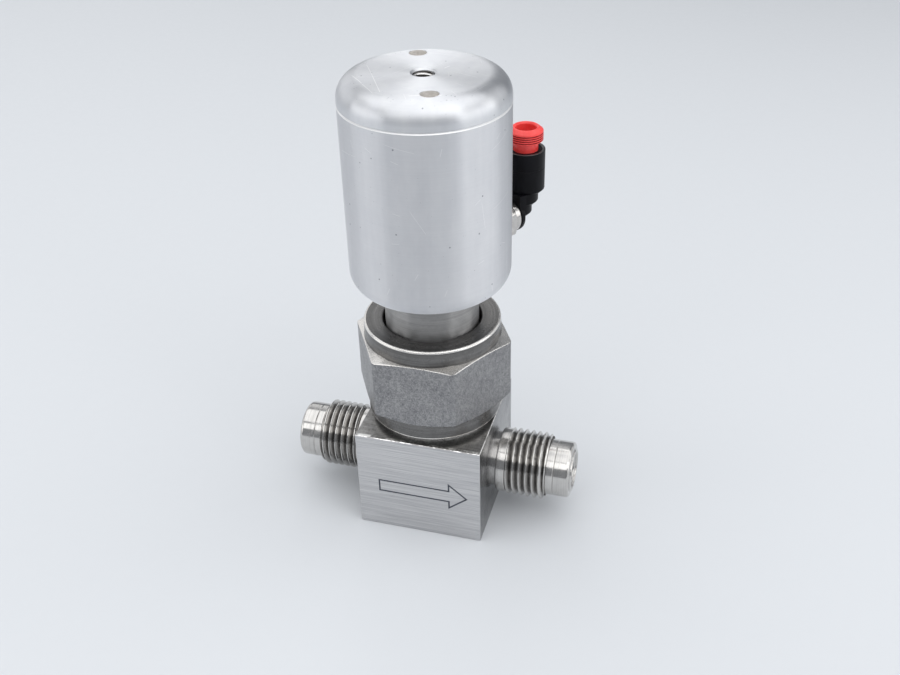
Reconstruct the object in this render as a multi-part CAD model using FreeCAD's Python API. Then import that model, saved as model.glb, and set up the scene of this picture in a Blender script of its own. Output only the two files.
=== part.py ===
import FreeCAD, Part
import math
import os

# Bellows sealed valve with a spring-closed pneumatic actuator, in millimetres.
#
# The block, its two threaded ends and the boss under the nut are one machined body. The bonnet nut
# clamps the gasket, the bellows flange and the bonnet on the boss. The actuator housing screws on
# the bonnet. Air from the elbow lifts the piston, the stem and the tip, and the spring closes them.
# The origin is under the actuator's axis on the block's base. +X is along the flow, -Y is the
# marked front face and +Z is up.

# Block and flow line
BLOCK_LENGTH = 26.7
BLOCK_DEPTH = 28.0
BLOCK_HEIGHT = 23.5
BLOCK_EDGE = 0.35
FLOW_HEIGHT = 11.75
FLOW_BORE_R = 2.3

# Threaded ends, both alike, each stretch following the one before it outwards
END_NECK_R = 5.9
END_NECK_LENGTH = 1.15
SHOULDER_R = 6.85
SHOULDER_LENGTH = 2.1
THREAD_R = 7.144
THREAD_LENGTH = 8.5
THREAD_CHAMFER = 0.6
NOSE_R = 5.95
NOSE_LENGTH = 5.0
NOSE_CHAMFER = 0.7
BEAD_MID_R = 4.2
BEAD_HEIGHT = 0.35

# Seat, bellows chamber and boss
CHAMBER_R = 7.6
CHAMBER_FLOOR = 18.0
SEAT_BORE_R = 2.2
SEAT_LIP_WIDTH = 0.8
SEAT_LIP_HEIGHT = 0.6
OUTLET_HOLE_R = 1.35
OUTLET_WALL = 1.9
BORE_OVERRUN = 0.3
BOSS_R = 12.2
BOSS_TOP = 36.0
BOSS_CHAMFER = 0.5

# Bonnet nut
NUT_FLATS = 28.575
NUT_CORNER_TRIM = 0.148
NUT_AZIMUTH = 60.0
NUT_COLLAR_WALL = 1.65
NUT_BOTTOM = 25.0
NUT_LOWER_COLLAR = 3.5
NUT_HEX_HEIGHT = 14.3
NUT_UPPER_COLLAR = 3.52
NUT_EDGE = 0.45
NUT_HOLE_GAP = 0.55
NUT_TOP_SLOPE = 12.0
NUT_LOWER_SLOPE = 30.0
SCREW_GAP = 0.05

# Gasket, bellows and tip
GASKET_THICKNESS = 0.4
GASKET_WIDTH = 2.6
FLANGE_THICKNESS = 1.6
FLANGE_INSET = 0.3
BELLOWS_OUTER_R = 6.5
BELLOWS_INNER_R = 4.4
BELLOWS_WALL = 0.22
CONVOLUTIONS = 8
CUFF_LENGTH = 1.0
TIP_R = 3.3
TIP_HEIGHT = 2.0
TIP_RIM = 1.0
TIP_SKIRT = 1.2
HOLDER_R = 5.4
HOLDER_THICKNESS = 1.8
HOLDER_HUB_R = 3.0
HOLDER_HUB_HEIGHT = 2.0

# Stem, piston and their travel
STEM_R = 2.45
STUD_R = 1.5
STUD_LENGTH = 2.5
TAIL_R = 1.95
LIFT = 1.6
RUNNING_GAP = 0.08
SEAL_GAP = 0.03

# Bonnet between the nut and the housing
BONNET_FLANGE_THICKNESS = 3.3
NECK_R = 9.45
NECK_LENGTH = 13.2
SPIGOT_R = 7.0
STEM_RING_R = 0.7
STEM_RING_DEPTH = 2.2
NECK_RING_R = 0.5
NECK_RING_MID_R = 8.2

# Actuator housing and cap
HOUSING_R = 15.875
HOUSING_LENGTH = 37.3
HOUSING_EDGE_R = 4.0
FLOOR_THICKNESS = 4.0
HOUSING_WALL = 2.475
CAP_THREAD_WALL = 1.975
CAP_THREAD_LENGTH = 4.9
CAP_HEIGHT = 5.0
CAP_EDGE_R = 4.0
CAP_ROOF = 4.0
CAP_RIM_WALL = 2.3
CAP_BOSS_R = 4.6
CAP_BOSS_DROP = 3.0
SEAM_CHAMFER = 0.3
VENT_R = 2.05
VENT_SINK = 0.35
SPANNER_INSET = 5.175
SPANNER_HOLE_R = 1.65
SPANNER_DEPTH = 2.4
SPANNER_AZIMUTH = -67.5

# Piston
PISTON_CLEAR = 7.5
CROWN_THICKNESS = 4.5
PISTON_WALL = 1.5
PISTON_RING_R = 1.0
PISTON_RING_DROP = 2.0
PISTON_HUB_R = 5.2
PISTON_HUB_HEIGHT = 1.2
PISTON_NUT_FLATS = 7.0
PISTON_NUT_HEIGHT = 3.0
TAIL_PROUD = 1.0

# Return spring
SPRING_MID_R = 8.6
SPRING_WIRE_R = 1.1
SPRING_TURNS = 5

# Air port and elbow. The port is cut into the housing just above its floor
PORT_AZIMUTH = 57.6
PORT_RISE = 2.7
PORT_THREAD_R = 2.5
SPOT_FACE_DEPTH = 0.375
WASHER_THICKNESS = 0.8
WASHER_R = 4.0
HEX_FLATS = 8.0
HEX_LENGTH = 3.6
COLLAR_R = 3.55
COLLAR_LENGTH = 1.8
AIR_BORE_R = 1.1
SWIVEL_R = 2.45
SWIVEL_LENGTH = 1.4
SWIVEL_RING_R = 0.3
SWIVEL_FACE_GAP = 0.08
ELBOW_OFFSET = 4.3
ELBOW_R = 4.0
ELBOW_RISE = 13.4
SOCKET_HEIGHT = 9.4
LEG_R = 3.6
LEG_LENGTH = 1.8
STEP_COUNT = 3
STEP_SHIFT = 1.3
STEP_DROP = 2.2
STEP_SHRINK = 0.35
ELBOW_CHAMFER = 0.9
AIR_WAY_SHIFT = 2.4

# Push-in socket
TUBE_R = 2.05
TUBE_STOP_DEPTH = 9.2
SEAL_POCKET_R = 3.0
SEAL_HEIGHT = 1.5
SEAL_POCKET_HEIGHT = 1.7
GRAB_THICKNESS = 0.3
GRAB_TEETH = 8
GRAB_SLOT = 0.5
GRAB_DROP = 0.8
GRAB_TOOTH_LENGTH = 0.72
GUIDE_R = 3.4
GUIDE_RECESS = 0.2
GUIDE_LENGTH = 4.0
BUTTON_NECK_R = 2.55
BUTTON_HEAD_R = 3.55
BUTTON_CROWN_R = 2.7
BUTTON_STAND = 4.6
BUTTON_HEAD_HEIGHT = 2.8
BUTTON_CROWN_HEIGHT = 0.9
BUTTON_TRAVEL = 0.9
BUTTON_RIDGES = 4
BUTTON_RIDGE_DEPTH = 0.12
MOUTH_CHAMFER = 0.3

# Heights that follow from the stack
SEAT_TOP = CHAMBER_FLOOR + SEAT_LIP_HEIGHT
TIP_TOP = SEAT_TOP + TIP_HEIGHT
HOLDER_TOP = TIP_TOP + HOLDER_THICKNESS
STEM_BOTTOM = HOLDER_TOP + HOLDER_HUB_HEIGHT
FLANGE_BOTTOM = BOSS_TOP + GASKET_THICKNESS
BONNET_BOTTOM = FLANGE_BOTTOM + FLANGE_THICKNESS
BONNET_SHOULDER = BONNET_BOTTOM + BONNET_FLANGE_THICKNESS
HOUSING_BOTTOM = BONNET_SHOULDER + NECK_LENGTH
HOUSING_FLOOR = HOUSING_BOTTOM + FLOOR_THICKNESS
HOUSING_TOP = HOUSING_BOTTOM + HOUSING_LENGTH
CAP_TOP = HOUSING_TOP + CAP_HEIGHT
CAP_PLUG_BOTTOM = HOUSING_TOP - CAP_THREAD_LENGTH
PISTON_BOTTOM = HOUSING_FLOOR + PISTON_CLEAR
CROWN_TOP = PISTON_BOTTOM + CROWN_THICKNESS
PISTON_TOP = CAP_PLUG_BOTTOM - LIFT
NUT_SEAT = CROWN_TOP + PISTON_HUB_HEIGHT
SPRING_TOP = CAP_TOP - CAP_ROOF

# Radii that follow from the boss, the bonnet and the housing
BOSS_BORE_R = BOSS_R + SCREW_GAP
NUT_COLLAR_R = BOSS_BORE_R + NUT_COLLAR_WALL
NUT_CORNER_R = NUT_FLATS / math.sqrt(3) - NUT_CORNER_TRIM
NUT_HOLE_R = NECK_R + NUT_HOLE_GAP
FLANGE_R = BOSS_R - FLANGE_INSET
CYLINDER_R = HOUSING_R - HOUSING_WALL
CAP_THREAD_R = HOUSING_R - CAP_THREAD_WALL
SPANNER_CIRCLE_R = HOUSING_R - SPANNER_INSET

# Places along the air fitting, measured outwards from the actuator's axis
PORT_HEIGHT = HOUSING_FLOOR + PORT_RISE
PORT_FACE = HOUSING_R - SPOT_FACE_DEPTH
HEX_START = PORT_FACE + WASHER_THICKNESS
COLLAR_START = HEX_START + HEX_LENGTH
SWIVEL_START = COLLAR_START + COLLAR_LENGTH
LEG_START = SWIVEL_START + SWIVEL_FACE_GAP
ELBOW_REACH = SWIVEL_START + ELBOW_OFFSET
PISTON_R = CYLINDER_R - RUNNING_GAP
BONNET_BORE_R = STEM_R + RUNNING_GAP

# Heights inside the push-in socket
ELBOW_RIM = PORT_HEIGHT + ELBOW_RISE
BUTTON_TOP = ELBOW_RIM + BUTTON_STAND
GUIDE_TOP = ELBOW_RIM - GUIDE_RECESS
GUIDE_BOTTOM = GUIDE_TOP - GUIDE_LENGTH
GRAB_BOTTOM = GUIDE_BOTTOM - GRAB_THICKNESS
SEAL_TOP = GRAB_BOTTOM - GRAB_DROP
POCKET_BOTTOM = GRAB_BOTTOM - GRAB_DROP - SEAL_POCKET_HEIGHT
TUBE_STOP = ELBOW_RIM - TUBE_STOP_DEPTH
BUTTON_BOTTOM = GUIDE_BOTTOM + BUTTON_TRAVEL

ORIGIN = FreeCAD.Vector(0, 0, 0)
UP = FreeCAD.Vector(0, 0, 1)
FLOW = FreeCAD.Vector(1, 0, 0)


# Building tools
def turned(*path):
    """Solid turned about +Z. An item is a point (r, z), or an arc's middle and end points."""
    points = [item[-1] if isinstance(item[0], tuple) else item for item in path]
    edges = []
    for here, item in zip(points, path[1:]):
        start = FreeCAD.Vector(here[0], 0, here[1])
        if isinstance(item[0], tuple):
            middle, end = [FreeCAD.Vector(r, 0, z) for r, z in item]
            edges.append(Part.Arc(start, middle, end).toShape())
        else:
            edges.append(Part.makeLine(start, FreeCAD.Vector(item[0], 0, item[1])))
    first = FreeCAD.Vector(points[0][0], 0, points[0][1])
    last = FreeCAD.Vector(points[-1][0], 0, points[-1][1])
    edges.append(Part.makeLine(last, first))
    face = Part.Face(Part.Wire(edges))
    return Part.Solid(face.revolve(ORIGIN, UP, 360))


def quarter(centre_r, centre_z, radius, start_degrees, end_degrees):
    """Middle and end points of an arc round a centre, for turned()."""
    angles = [math.radians(start_degrees + end_degrees) / 2, math.radians(end_degrees)]
    return tuple((centre_r + radius * math.cos(a), centre_z + radius * math.sin(a)) for a in angles)


def ring(inner_r, outer_r, bottom, top):
    return turned((inner_r, bottom), (outer_r, bottom), (outer_r, top), (inner_r, top))


def disc(radius, bottom, top, x=0.0, y=0.0):
    return Part.makeCylinder(radius, top - bottom, FreeCAD.Vector(x, y, bottom), UP)


def o_ring(mid_r, section_r, height):
    return Part.makeTorus(mid_r, section_r, FreeCAD.Vector(0, 0, height), UP)


def hexagon(flats, bottom, top, azimuth=0.0):
    """Hexagonal bar with a corner at the azimuth."""
    corner_r = flats / math.sqrt(3)
    turns = [math.radians(azimuth + 60 * k) for k in range(7)]
    points = [FreeCAD.Vector(corner_r * math.cos(a), corner_r * math.sin(a), bottom) for a in turns]
    face = Part.Face(Part.makePolygon(points))
    return face.extrude(FreeCAD.Vector(0, 0, top - bottom))


def along_flow(shape, direction, height=FLOW_HEIGHT):
    """Turn a shape made about +Z to lie along the flow line."""
    placed = shape.copy()
    placed.rotate(ORIGIN, FreeCAD.Vector(0, 1, 0), 90 * direction)
    placed.translate(FreeCAD.Vector(0, 0, height))
    return placed


def at_port(shape):
    """Turn a shape made over the +X axis round to the air port."""
    placed = shape.copy()
    placed.rotate(ORIGIN, UP, PORT_AZIMUTH)
    return placed


def along_port(shape):
    """Turn a shape made about +Z to lie along the air port's axis."""
    return at_port(along_flow(shape, 1, PORT_HEIGHT))


# Body with its ends, boss and seat
def end_fitting():
    """One threaded end about +Z, from inside the block to its beaded face."""
    half = BLOCK_LENGTH / 2
    shoulder = half + END_NECK_LENGTH
    thread = shoulder + SHOULDER_LENGTH
    nose = thread + THREAD_LENGTH
    face = nose + NOSE_LENGTH
    bead_half = BEAD_HEIGHT
    return turned(
        (0, half - END_NECK_LENGTH), (END_NECK_R, half - END_NECK_LENGTH), (END_NECK_R, shoulder),
        (SHOULDER_R, shoulder), (SHOULDER_R, thread), (THREAD_R, thread),
        (THREAD_R, nose - THREAD_CHAMFER), (THREAD_R - THREAD_CHAMFER, nose),
        (NOSE_R, nose), (NOSE_R, face - NOSE_CHAMFER), (NOSE_R - NOSE_CHAMFER, face),
        (BEAD_MID_R + bead_half, face), quarter(BEAD_MID_R, face, bead_half, 0, 180), (0, face))


def valve_body():
    block = Part.makeBox(BLOCK_LENGTH, BLOCK_DEPTH, BLOCK_HEIGHT,
                         FreeCAD.Vector(-BLOCK_LENGTH / 2, -BLOCK_DEPTH / 2, 0))
    upper_edges = [edge for edge in block.Edges if edge.BoundBox.ZMin > BLOCK_HEIGHT / 2]
    block = block.makeChamfer(BLOCK_EDGE, upper_edges)
    boss = turned((0, CHAMBER_FLOOR), (BOSS_R, CHAMBER_FLOOR), (BOSS_R, BOSS_TOP - BOSS_CHAMFER),
                  (BOSS_R - BOSS_CHAMFER, BOSS_TOP), (0, BOSS_TOP))
    solid = block.fuse([boss, along_flow(end_fitting(), 1), along_flow(end_fitting(), -1)])
    solid = solid.cut(disc(CHAMBER_R, CHAMBER_FLOOR, BOSS_TOP))
    solid = solid.fuse(disc(SEAT_BORE_R + SEAT_LIP_WIDTH, CHAMBER_FLOOR, SEAT_TOP))
    end_face = (BLOCK_LENGTH / 2 + END_NECK_LENGTH + SHOULDER_LENGTH + THREAD_LENGTH
                + NOSE_LENGTH + BEAD_HEIGHT)
    inlet_end = SEAT_BORE_R + BORE_OVERRUN
    outlet_start = inlet_end + OUTLET_WALL
    inlet = along_flow(disc(FLOW_BORE_R, -inlet_end, end_face), -1)
    outlet = along_flow(disc(FLOW_BORE_R, outlet_start, end_face), 1)
    riser = disc(SEAT_BORE_R, FLOW_HEIGHT, SEAT_TOP)
    drop = disc(OUTLET_HOLE_R, FLOW_HEIGHT, CHAMBER_FLOOR,
                outlet_start + OUTLET_HOLE_R + BORE_OVERRUN)
    return solid.cut([inlet, outlet, riser, drop]).removeSplitter()


# Parts held down by the nut
def bonnet_nut():
    hex_bottom = NUT_BOTTOM + NUT_LOWER_COLLAR
    hex_top = hex_bottom + NUT_HEX_HEIGHT
    top = hex_top + NUT_UPPER_COLLAR
    reach = NUT_CORNER_R - NUT_COLLAR_R
    rise = reach * math.tan(math.radians(NUT_LOWER_SLOPE))
    fall = reach * math.tan(math.radians(NUT_TOP_SLOPE))
    outline = turned(
        (NUT_HOLE_R, BONNET_SHOULDER), (BOSS_BORE_R, BONNET_SHOULDER), (BOSS_BORE_R, NUT_BOTTOM),
        (NUT_COLLAR_R - NUT_EDGE, NUT_BOTTOM),
        quarter(NUT_COLLAR_R - NUT_EDGE, NUT_BOTTOM + NUT_EDGE, NUT_EDGE, -90, 0),
        (NUT_COLLAR_R, hex_bottom), (NUT_CORNER_R, hex_bottom + rise),
        (NUT_CORNER_R, hex_top - fall), (NUT_COLLAR_R, hex_top), (NUT_COLLAR_R, top - NUT_EDGE),
        quarter(NUT_COLLAR_R - NUT_EDGE, top - NUT_EDGE, NUT_EDGE, 0, 90),
        (NUT_HOLE_R, top))
    return outline.common(hexagon(NUT_FLATS, NUT_BOTTOM, top, NUT_AZIMUTH))


def gasket():
    return ring(CHAMBER_R, CHAMBER_R + GASKET_WIDTH, BOSS_TOP, FLANGE_BOTTOM)


def bellows_flange():
    return ring(HOLDER_HUB_R, FLANGE_R, FLANGE_BOTTOM, BONNET_BOTTOM)


def bellows():
    """Thin wall folded into convolutions, with a straight cuff at each end."""
    bottom = HOLDER_TOP + CUFF_LENGTH
    pitch = (FLANGE_BOTTOM - CUFF_LENGTH - bottom) / CONVOLUTIONS
    inner = [(BELLOWS_INNER_R, HOLDER_TOP), (BELLOWS_INNER_R, bottom)]
    for k in range(CONVOLUTIONS):
        start = bottom + k * pitch
        inner.append((BELLOWS_OUTER_R - BELLOWS_WALL, start + 0.3 * pitch))
        inner.append((BELLOWS_OUTER_R - BELLOWS_WALL, start + 0.6 * pitch))
        inner.append((BELLOWS_INNER_R, start + 0.9 * pitch))
        inner.append((BELLOWS_INNER_R, start + pitch))
    inner.append((BELLOWS_INNER_R, FLANGE_BOTTOM))
    outer = [(r + BELLOWS_WALL, z) for r, z in reversed(inner)]
    return turned(*inner, *outer)


def stem_tip():
    return disc(TIP_R, SEAT_TOP, TIP_TOP)


def tip_holder():
    stud_bore = STUD_R + SCREW_GAP
    return turned(
        (TIP_R, TIP_TOP), (TIP_R, TIP_TOP - TIP_SKIRT), (TIP_R + TIP_RIM, TIP_TOP - TIP_SKIRT),
        (TIP_R + TIP_RIM, TIP_TOP), (HOLDER_R, TIP_TOP), (HOLDER_R, HOLDER_TOP),
        (HOLDER_HUB_R, HOLDER_TOP), (HOLDER_HUB_R, STEM_BOTTOM), (stud_bore, STEM_BOTTOM),
        (stud_bore, STEM_BOTTOM - STUD_LENGTH), (0, STEM_BOTTOM - STUD_LENGTH), (0, TIP_TOP))


def bonnet():
    """Flange under the nut, turned neck, and the spigot that the housing screws on."""
    ring_height = HOUSING_FLOOR - STEM_RING_DEPTH
    solid = turned(
        (BONNET_BORE_R, BONNET_BOTTOM), (FLANGE_R, BONNET_BOTTOM), (FLANGE_R, BONNET_SHOULDER),
        (NECK_R, BONNET_SHOULDER), (NECK_R, HOUSING_BOTTOM), (SPIGOT_R, HOUSING_BOTTOM),
        (SPIGOT_R, HOUSING_FLOOR), (BONNET_BORE_R, HOUSING_FLOOR))
    stem_groove = ring(STEM_R, STEM_R + SEAL_GAP + 2 * STEM_RING_R,
                       ring_height - STEM_RING_R, ring_height + STEM_RING_R)
    neck_groove = ring(NECK_RING_MID_R - NECK_RING_R, NECK_RING_MID_R + NECK_RING_R,
                       HOUSING_BOTTOM - 2 * NECK_RING_R, HOUSING_BOTTOM)
    return solid.cut([stem_groove, neck_groove])


def stem_o_ring():
    return o_ring(STEM_R + SEAL_GAP + STEM_RING_R, STEM_RING_R, HOUSING_FLOOR - STEM_RING_DEPTH)


def neck_o_ring():
    return o_ring(NECK_RING_MID_R, NECK_RING_R, HOUSING_BOTTOM - NECK_RING_R)


# Actuator
def stem():
    tail_top = NUT_SEAT + PISTON_NUT_HEIGHT + TAIL_PROUD
    return turned(
        (0, STEM_BOTTOM - STUD_LENGTH), (STUD_R, STEM_BOTTOM - STUD_LENGTH),
        (STUD_R, STEM_BOTTOM), (STEM_R, STEM_BOTTOM), (STEM_R, PISTON_BOTTOM),
        (TAIL_R, PISTON_BOTTOM), (TAIL_R, tail_top - SEAM_CHAMFER),
        (TAIL_R - SEAM_CHAMFER, tail_top), (0, tail_top))


def housing():
    """Cup with a rounded lower edge, threaded above for the cap and below for the bonnet."""
    screwed_r = CAP_THREAD_R + SCREW_GAP
    solid = turned(
        (SPIGOT_R + SCREW_GAP, HOUSING_BOTTOM), (HOUSING_R - HOUSING_EDGE_R, HOUSING_BOTTOM),
        quarter(HOUSING_R - HOUSING_EDGE_R, HOUSING_BOTTOM + HOUSING_EDGE_R, HOUSING_EDGE_R, -90, 0),
        (HOUSING_R, HOUSING_TOP - SEAM_CHAMFER), (HOUSING_R - SEAM_CHAMFER, HOUSING_TOP),
        (screwed_r, HOUSING_TOP), (screwed_r, CAP_PLUG_BOTTOM), (CYLINDER_R, CAP_PLUG_BOTTOM),
        (CYLINDER_R, HOUSING_FLOOR), (SPIGOT_R + SCREW_GAP, HOUSING_FLOOR))
    air_port = along_port(disc(PORT_THREAD_R + SCREW_GAP, HOUSING_R / 2, HOUSING_R))
    spot_face = along_port(disc(WASHER_R + 2 * SCREW_GAP, PORT_FACE, HOUSING_R + PORT_FACE))
    return solid.cut([air_port, spot_face])


def cap():
    """Screwed cover with a large edge radius, a vent hole and two blind spanner holes."""
    inner_r = CAP_THREAD_R - CAP_RIM_WALL
    solid = turned(
        (VENT_R, SPRING_TOP - CAP_BOSS_DROP), (CAP_BOSS_R, SPRING_TOP - CAP_BOSS_DROP),
        (CAP_BOSS_R, SPRING_TOP), (inner_r, SPRING_TOP), (inner_r, CAP_PLUG_BOTTOM),
        (CAP_THREAD_R, CAP_PLUG_BOTTOM), (CAP_THREAD_R, HOUSING_TOP),
        (HOUSING_R - SEAM_CHAMFER, HOUSING_TOP), (HOUSING_R, HOUSING_TOP + SEAM_CHAMFER),
        (HOUSING_R, CAP_TOP - CAP_EDGE_R),
        quarter(HOUSING_R - CAP_EDGE_R, CAP_TOP - CAP_EDGE_R, CAP_EDGE_R, 0, 90),
        (VENT_R + VENT_SINK, CAP_TOP), (VENT_R, CAP_TOP - VENT_SINK))
    holes = []
    for turn in (0, 180):
        hole = disc(SPANNER_HOLE_R, CAP_TOP - SPANNER_DEPTH, CAP_TOP, SPANNER_CIRCLE_R)
        hole.rotate(ORIGIN, UP, SPANNER_AZIMUTH + turn)
        holes.append(hole)
    return solid.cut(holes)


def piston():
    """Cup piston. Its rim meets the cap's plug at full lift."""
    ring_height = CROWN_TOP - PISTON_RING_DROP
    solid = turned(
        (TAIL_R + SCREW_GAP, PISTON_BOTTOM), (PISTON_R, PISTON_BOTTOM), (PISTON_R, PISTON_TOP),
        (PISTON_R - PISTON_WALL, PISTON_TOP), (PISTON_R - PISTON_WALL, CROWN_TOP),
        (PISTON_HUB_R, CROWN_TOP), (PISTON_HUB_R, NUT_SEAT), (TAIL_R + SCREW_GAP, NUT_SEAT))
    groove_r = CYLINDER_R - SEAL_GAP - 2 * PISTON_RING_R
    groove = ring(groove_r, PISTON_R, ring_height - PISTON_RING_R, ring_height + PISTON_RING_R)
    return solid.cut(groove)


def piston_o_ring():
    return o_ring(CYLINDER_R - SEAL_GAP - PISTON_RING_R, PISTON_RING_R, CROWN_TOP - PISTON_RING_DROP)


def piston_nut():
    top = NUT_SEAT + PISTON_NUT_HEIGHT
    return hexagon(PISTON_NUT_FLATS, NUT_SEAT, top).cut(disc(TAIL_R + SCREW_GAP, NUT_SEAT, top))


def return_spring():
    """Helical wire from the piston's crown to the cap's roof."""
    bottom = CROWN_TOP + SPRING_WIRE_R
    rise = SPRING_TOP - SPRING_WIRE_R - bottom
    helix = Part.makeHelix(rise / SPRING_TURNS, rise, SPRING_MID_R)
    helix.translate(FreeCAD.Vector(0, 0, bottom))
    section = Part.makeCircle(SPRING_WIRE_R, FreeCAD.Vector(SPRING_MID_R, 0, bottom),
                              FreeCAD.Vector(0, 1, 0))
    return Part.Wire(helix).makePipeShell([Part.Wire(section)], True, True)


# Air fitting
def fitting_washer():
    return along_port(ring(PORT_THREAD_R, WASHER_R, PORT_FACE, HEX_START))


def fitting_stem():
    """Plated stem: thread in the port, hexagon, collar and the journal that the elbow turns on."""
    journal_end = SWIVEL_START + SWIVEL_LENGTH
    ring_reach = (SWIVEL_START + journal_end) / 2
    turned_part = turned(
        (AIR_BORE_R, CYLINDER_R), (PORT_THREAD_R, CYLINDER_R), (PORT_THREAD_R, COLLAR_START),
        (COLLAR_R, COLLAR_START), (COLLAR_R, SWIVEL_START), (SWIVEL_R, SWIVEL_START),
        (SWIVEL_R, journal_end), (AIR_BORE_R, journal_end))
    wrench = hexagon(HEX_FLATS, HEX_START, COLLAR_START).cut(disc(AIR_BORE_R, HEX_START, COLLAR_START))
    groove = ring(SWIVEL_R + RUNNING_GAP - SEAL_GAP - 2 * SWIVEL_RING_R, SWIVEL_R,
                  ring_reach - SWIVEL_RING_R, ring_reach + SWIVEL_RING_R)
    return along_port(turned_part.fuse(wrench).cut(groove))


def swivel_o_ring():
    ring_reach = SWIVEL_START + SWIVEL_LENGTH / 2
    mid_r = SWIVEL_R + RUNNING_GAP - SEAL_GAP - SWIVEL_RING_R
    return along_port(o_ring(mid_r, SWIVEL_RING_R, ring_reach))


def elbow_body():
    """Moulded elbow: upright socket, stepped corner and the leg that turns on the journal."""
    socket_bottom = ELBOW_RIM - SOCKET_HEIGHT
    columns = []
    for k in range(STEP_COUNT + 1):
        outer_r = ELBOW_R - k * STEP_SHRINK
        bottom = socket_bottom - k * STEP_DROP
        top = ELBOW_RIM if k == 0 else socket_bottom + ELBOW_CHAMFER
        column = turned((0, bottom), (outer_r - ELBOW_CHAMFER, bottom),
                        (outer_r, bottom + ELBOW_CHAMFER), (outer_r, top), (0, top))
        column.translate(FreeCAD.Vector(ELBOW_REACH - k * STEP_SHIFT, 0, 0))
        columns.append(column)
    leg_end = LEG_START + LEG_LENGTH
    leg = turned((0, LEG_START), (LEG_R, LEG_START), (LEG_R, leg_end - ELBOW_CHAMFER),
                 (LEG_R - ELBOW_CHAMFER, leg_end), (0, leg_end))
    solid = along_flow(leg, 1, PORT_HEIGHT).fuse(columns)
    inward = Part.makeBox(LEG_START, 2 * HOUSING_R, 2 * HOUSING_R,
                          FreeCAD.Vector(0, -HOUSING_R, PORT_HEIGHT - HOUSING_R))
    journal_bore = along_flow(disc(SWIVEL_R + RUNNING_GAP, LEG_START,
                                   SWIVEL_START + SWIVEL_LENGTH + RUNNING_GAP), 1, PORT_HEIGHT)
    air_way_reach = ELBOW_REACH - AIR_WAY_SHIFT
    air_way = disc(AIR_BORE_R, PORT_HEIGHT, TUBE_STOP, air_way_reach)
    link = along_flow(disc(AIR_BORE_R, LEG_START, air_way_reach), 1, PORT_HEIGHT)
    socket = turned(
        (0, TUBE_STOP), (TUBE_R, TUBE_STOP), (TUBE_R, POCKET_BOTTOM),
        (SEAL_POCKET_R, POCKET_BOTTOM), (SEAL_POCKET_R, GRAB_BOTTOM), (GUIDE_R, GRAB_BOTTOM),
        (GUIDE_R, ELBOW_RIM), (0, ELBOW_RIM))
    socket.translate(FreeCAD.Vector(ELBOW_REACH, 0, 0))
    return at_port(solid.cut([inward, journal_bore, air_way, link, socket]).removeSplitter())


def in_socket(shape):
    """Move a shape made about +Z onto the elbow's upright axis."""
    placed = shape.copy()
    placed.translate(FreeCAD.Vector(ELBOW_REACH, 0, 0))
    return at_port(placed)


def tube_seal():
    return in_socket(ring(TUBE_R, SEAL_POCKET_R, SEAL_TOP - SEAL_HEIGHT, SEAL_TOP))


def grab_ring():
    """Thin clamped rim with spring teeth that slope down and inwards to grip the tube."""
    drop = GRAB_DROP - GRAB_THICKNESS
    root_r = TUBE_R + GRAB_TOOTH_LENGTH
    cone = turned(
        (TUBE_R, GRAB_BOTTOM - drop), (root_r, GRAB_BOTTOM), (GUIDE_R, GRAB_BOTTOM),
        (GUIDE_R, GUIDE_BOTTOM), (root_r, GUIDE_BOTTOM), (TUBE_R, GUIDE_BOTTOM - drop))
    slots = []
    for k in range(GRAB_TEETH):
        slot = Part.makeBox(root_r, GRAB_SLOT, GRAB_DROP + GRAB_THICKNESS,
                            FreeCAD.Vector(0, -GRAB_SLOT / 2, GRAB_BOTTOM - GRAB_DROP))
        slot.rotate(ORIGIN, UP, 360 * k / GRAB_TEETH)
        slots.append(slot)
    return in_socket(cone.cut(slots))


def guide_ring():
    return in_socket(ring(BUTTON_NECK_R + RUNNING_GAP, GUIDE_R, GUIDE_BOTTOM, GUIDE_TOP))


def release_button():
    """Collar round the tube. Pressed down, its neck spreads the teeth of the grab ring."""
    head_bottom = BUTTON_TOP - BUTTON_HEAD_HEIGHT
    crown = BUTTON_TOP - BUTTON_CROWN_HEIGHT
    bore_r = TUBE_R + RUNNING_GAP
    solid = turned(
        (bore_r, BUTTON_BOTTOM), (BUTTON_NECK_R, BUTTON_BOTTOM), (BUTTON_NECK_R, head_bottom),
        (BUTTON_HEAD_R, head_bottom), (BUTTON_HEAD_R, crown), (BUTTON_CROWN_R, BUTTON_TOP),
        (bore_r + MOUTH_CHAMFER, BUTTON_TOP), (bore_r, BUTTON_TOP - MOUTH_CHAMFER))
    pitch = (crown - head_bottom) / (BUTTON_RIDGES + 1)
    grooves = []
    for k in range(1, BUTTON_RIDGES + 1):
        middle = head_bottom + k * pitch
        grooves.append(turned(
            (BUTTON_HEAD_R - BUTTON_RIDGE_DEPTH, middle),
            (BUTTON_HEAD_R + BUTTON_RIDGE_DEPTH, middle - 2 * BUTTON_RIDGE_DEPTH),
            (BUTTON_HEAD_R + BUTTON_RIDGE_DEPTH, middle + 2 * BUTTON_RIDGE_DEPTH)))
    return in_socket(solid.cut(grooves))


PIECES = (
    valve_body, bonnet_nut, gasket, bellows_flange, bellows, stem_tip, tip_holder, bonnet,
    stem_o_ring, neck_o_ring, stem, housing, cap, piston, piston_o_ring, piston_nut,
    return_spring, fitting_washer, fitting_stem, swivel_o_ring, elbow_body, tube_seal,
    grab_ring, guide_ring, release_button)

os.makedirs("parts", exist_ok=True)
for piece in PIECES:
    piece().exportStep("parts/" + piece.__name__ + ".step")
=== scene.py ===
import math

import bmesh
import bpy
from mathutils import Matrix, Vector

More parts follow.
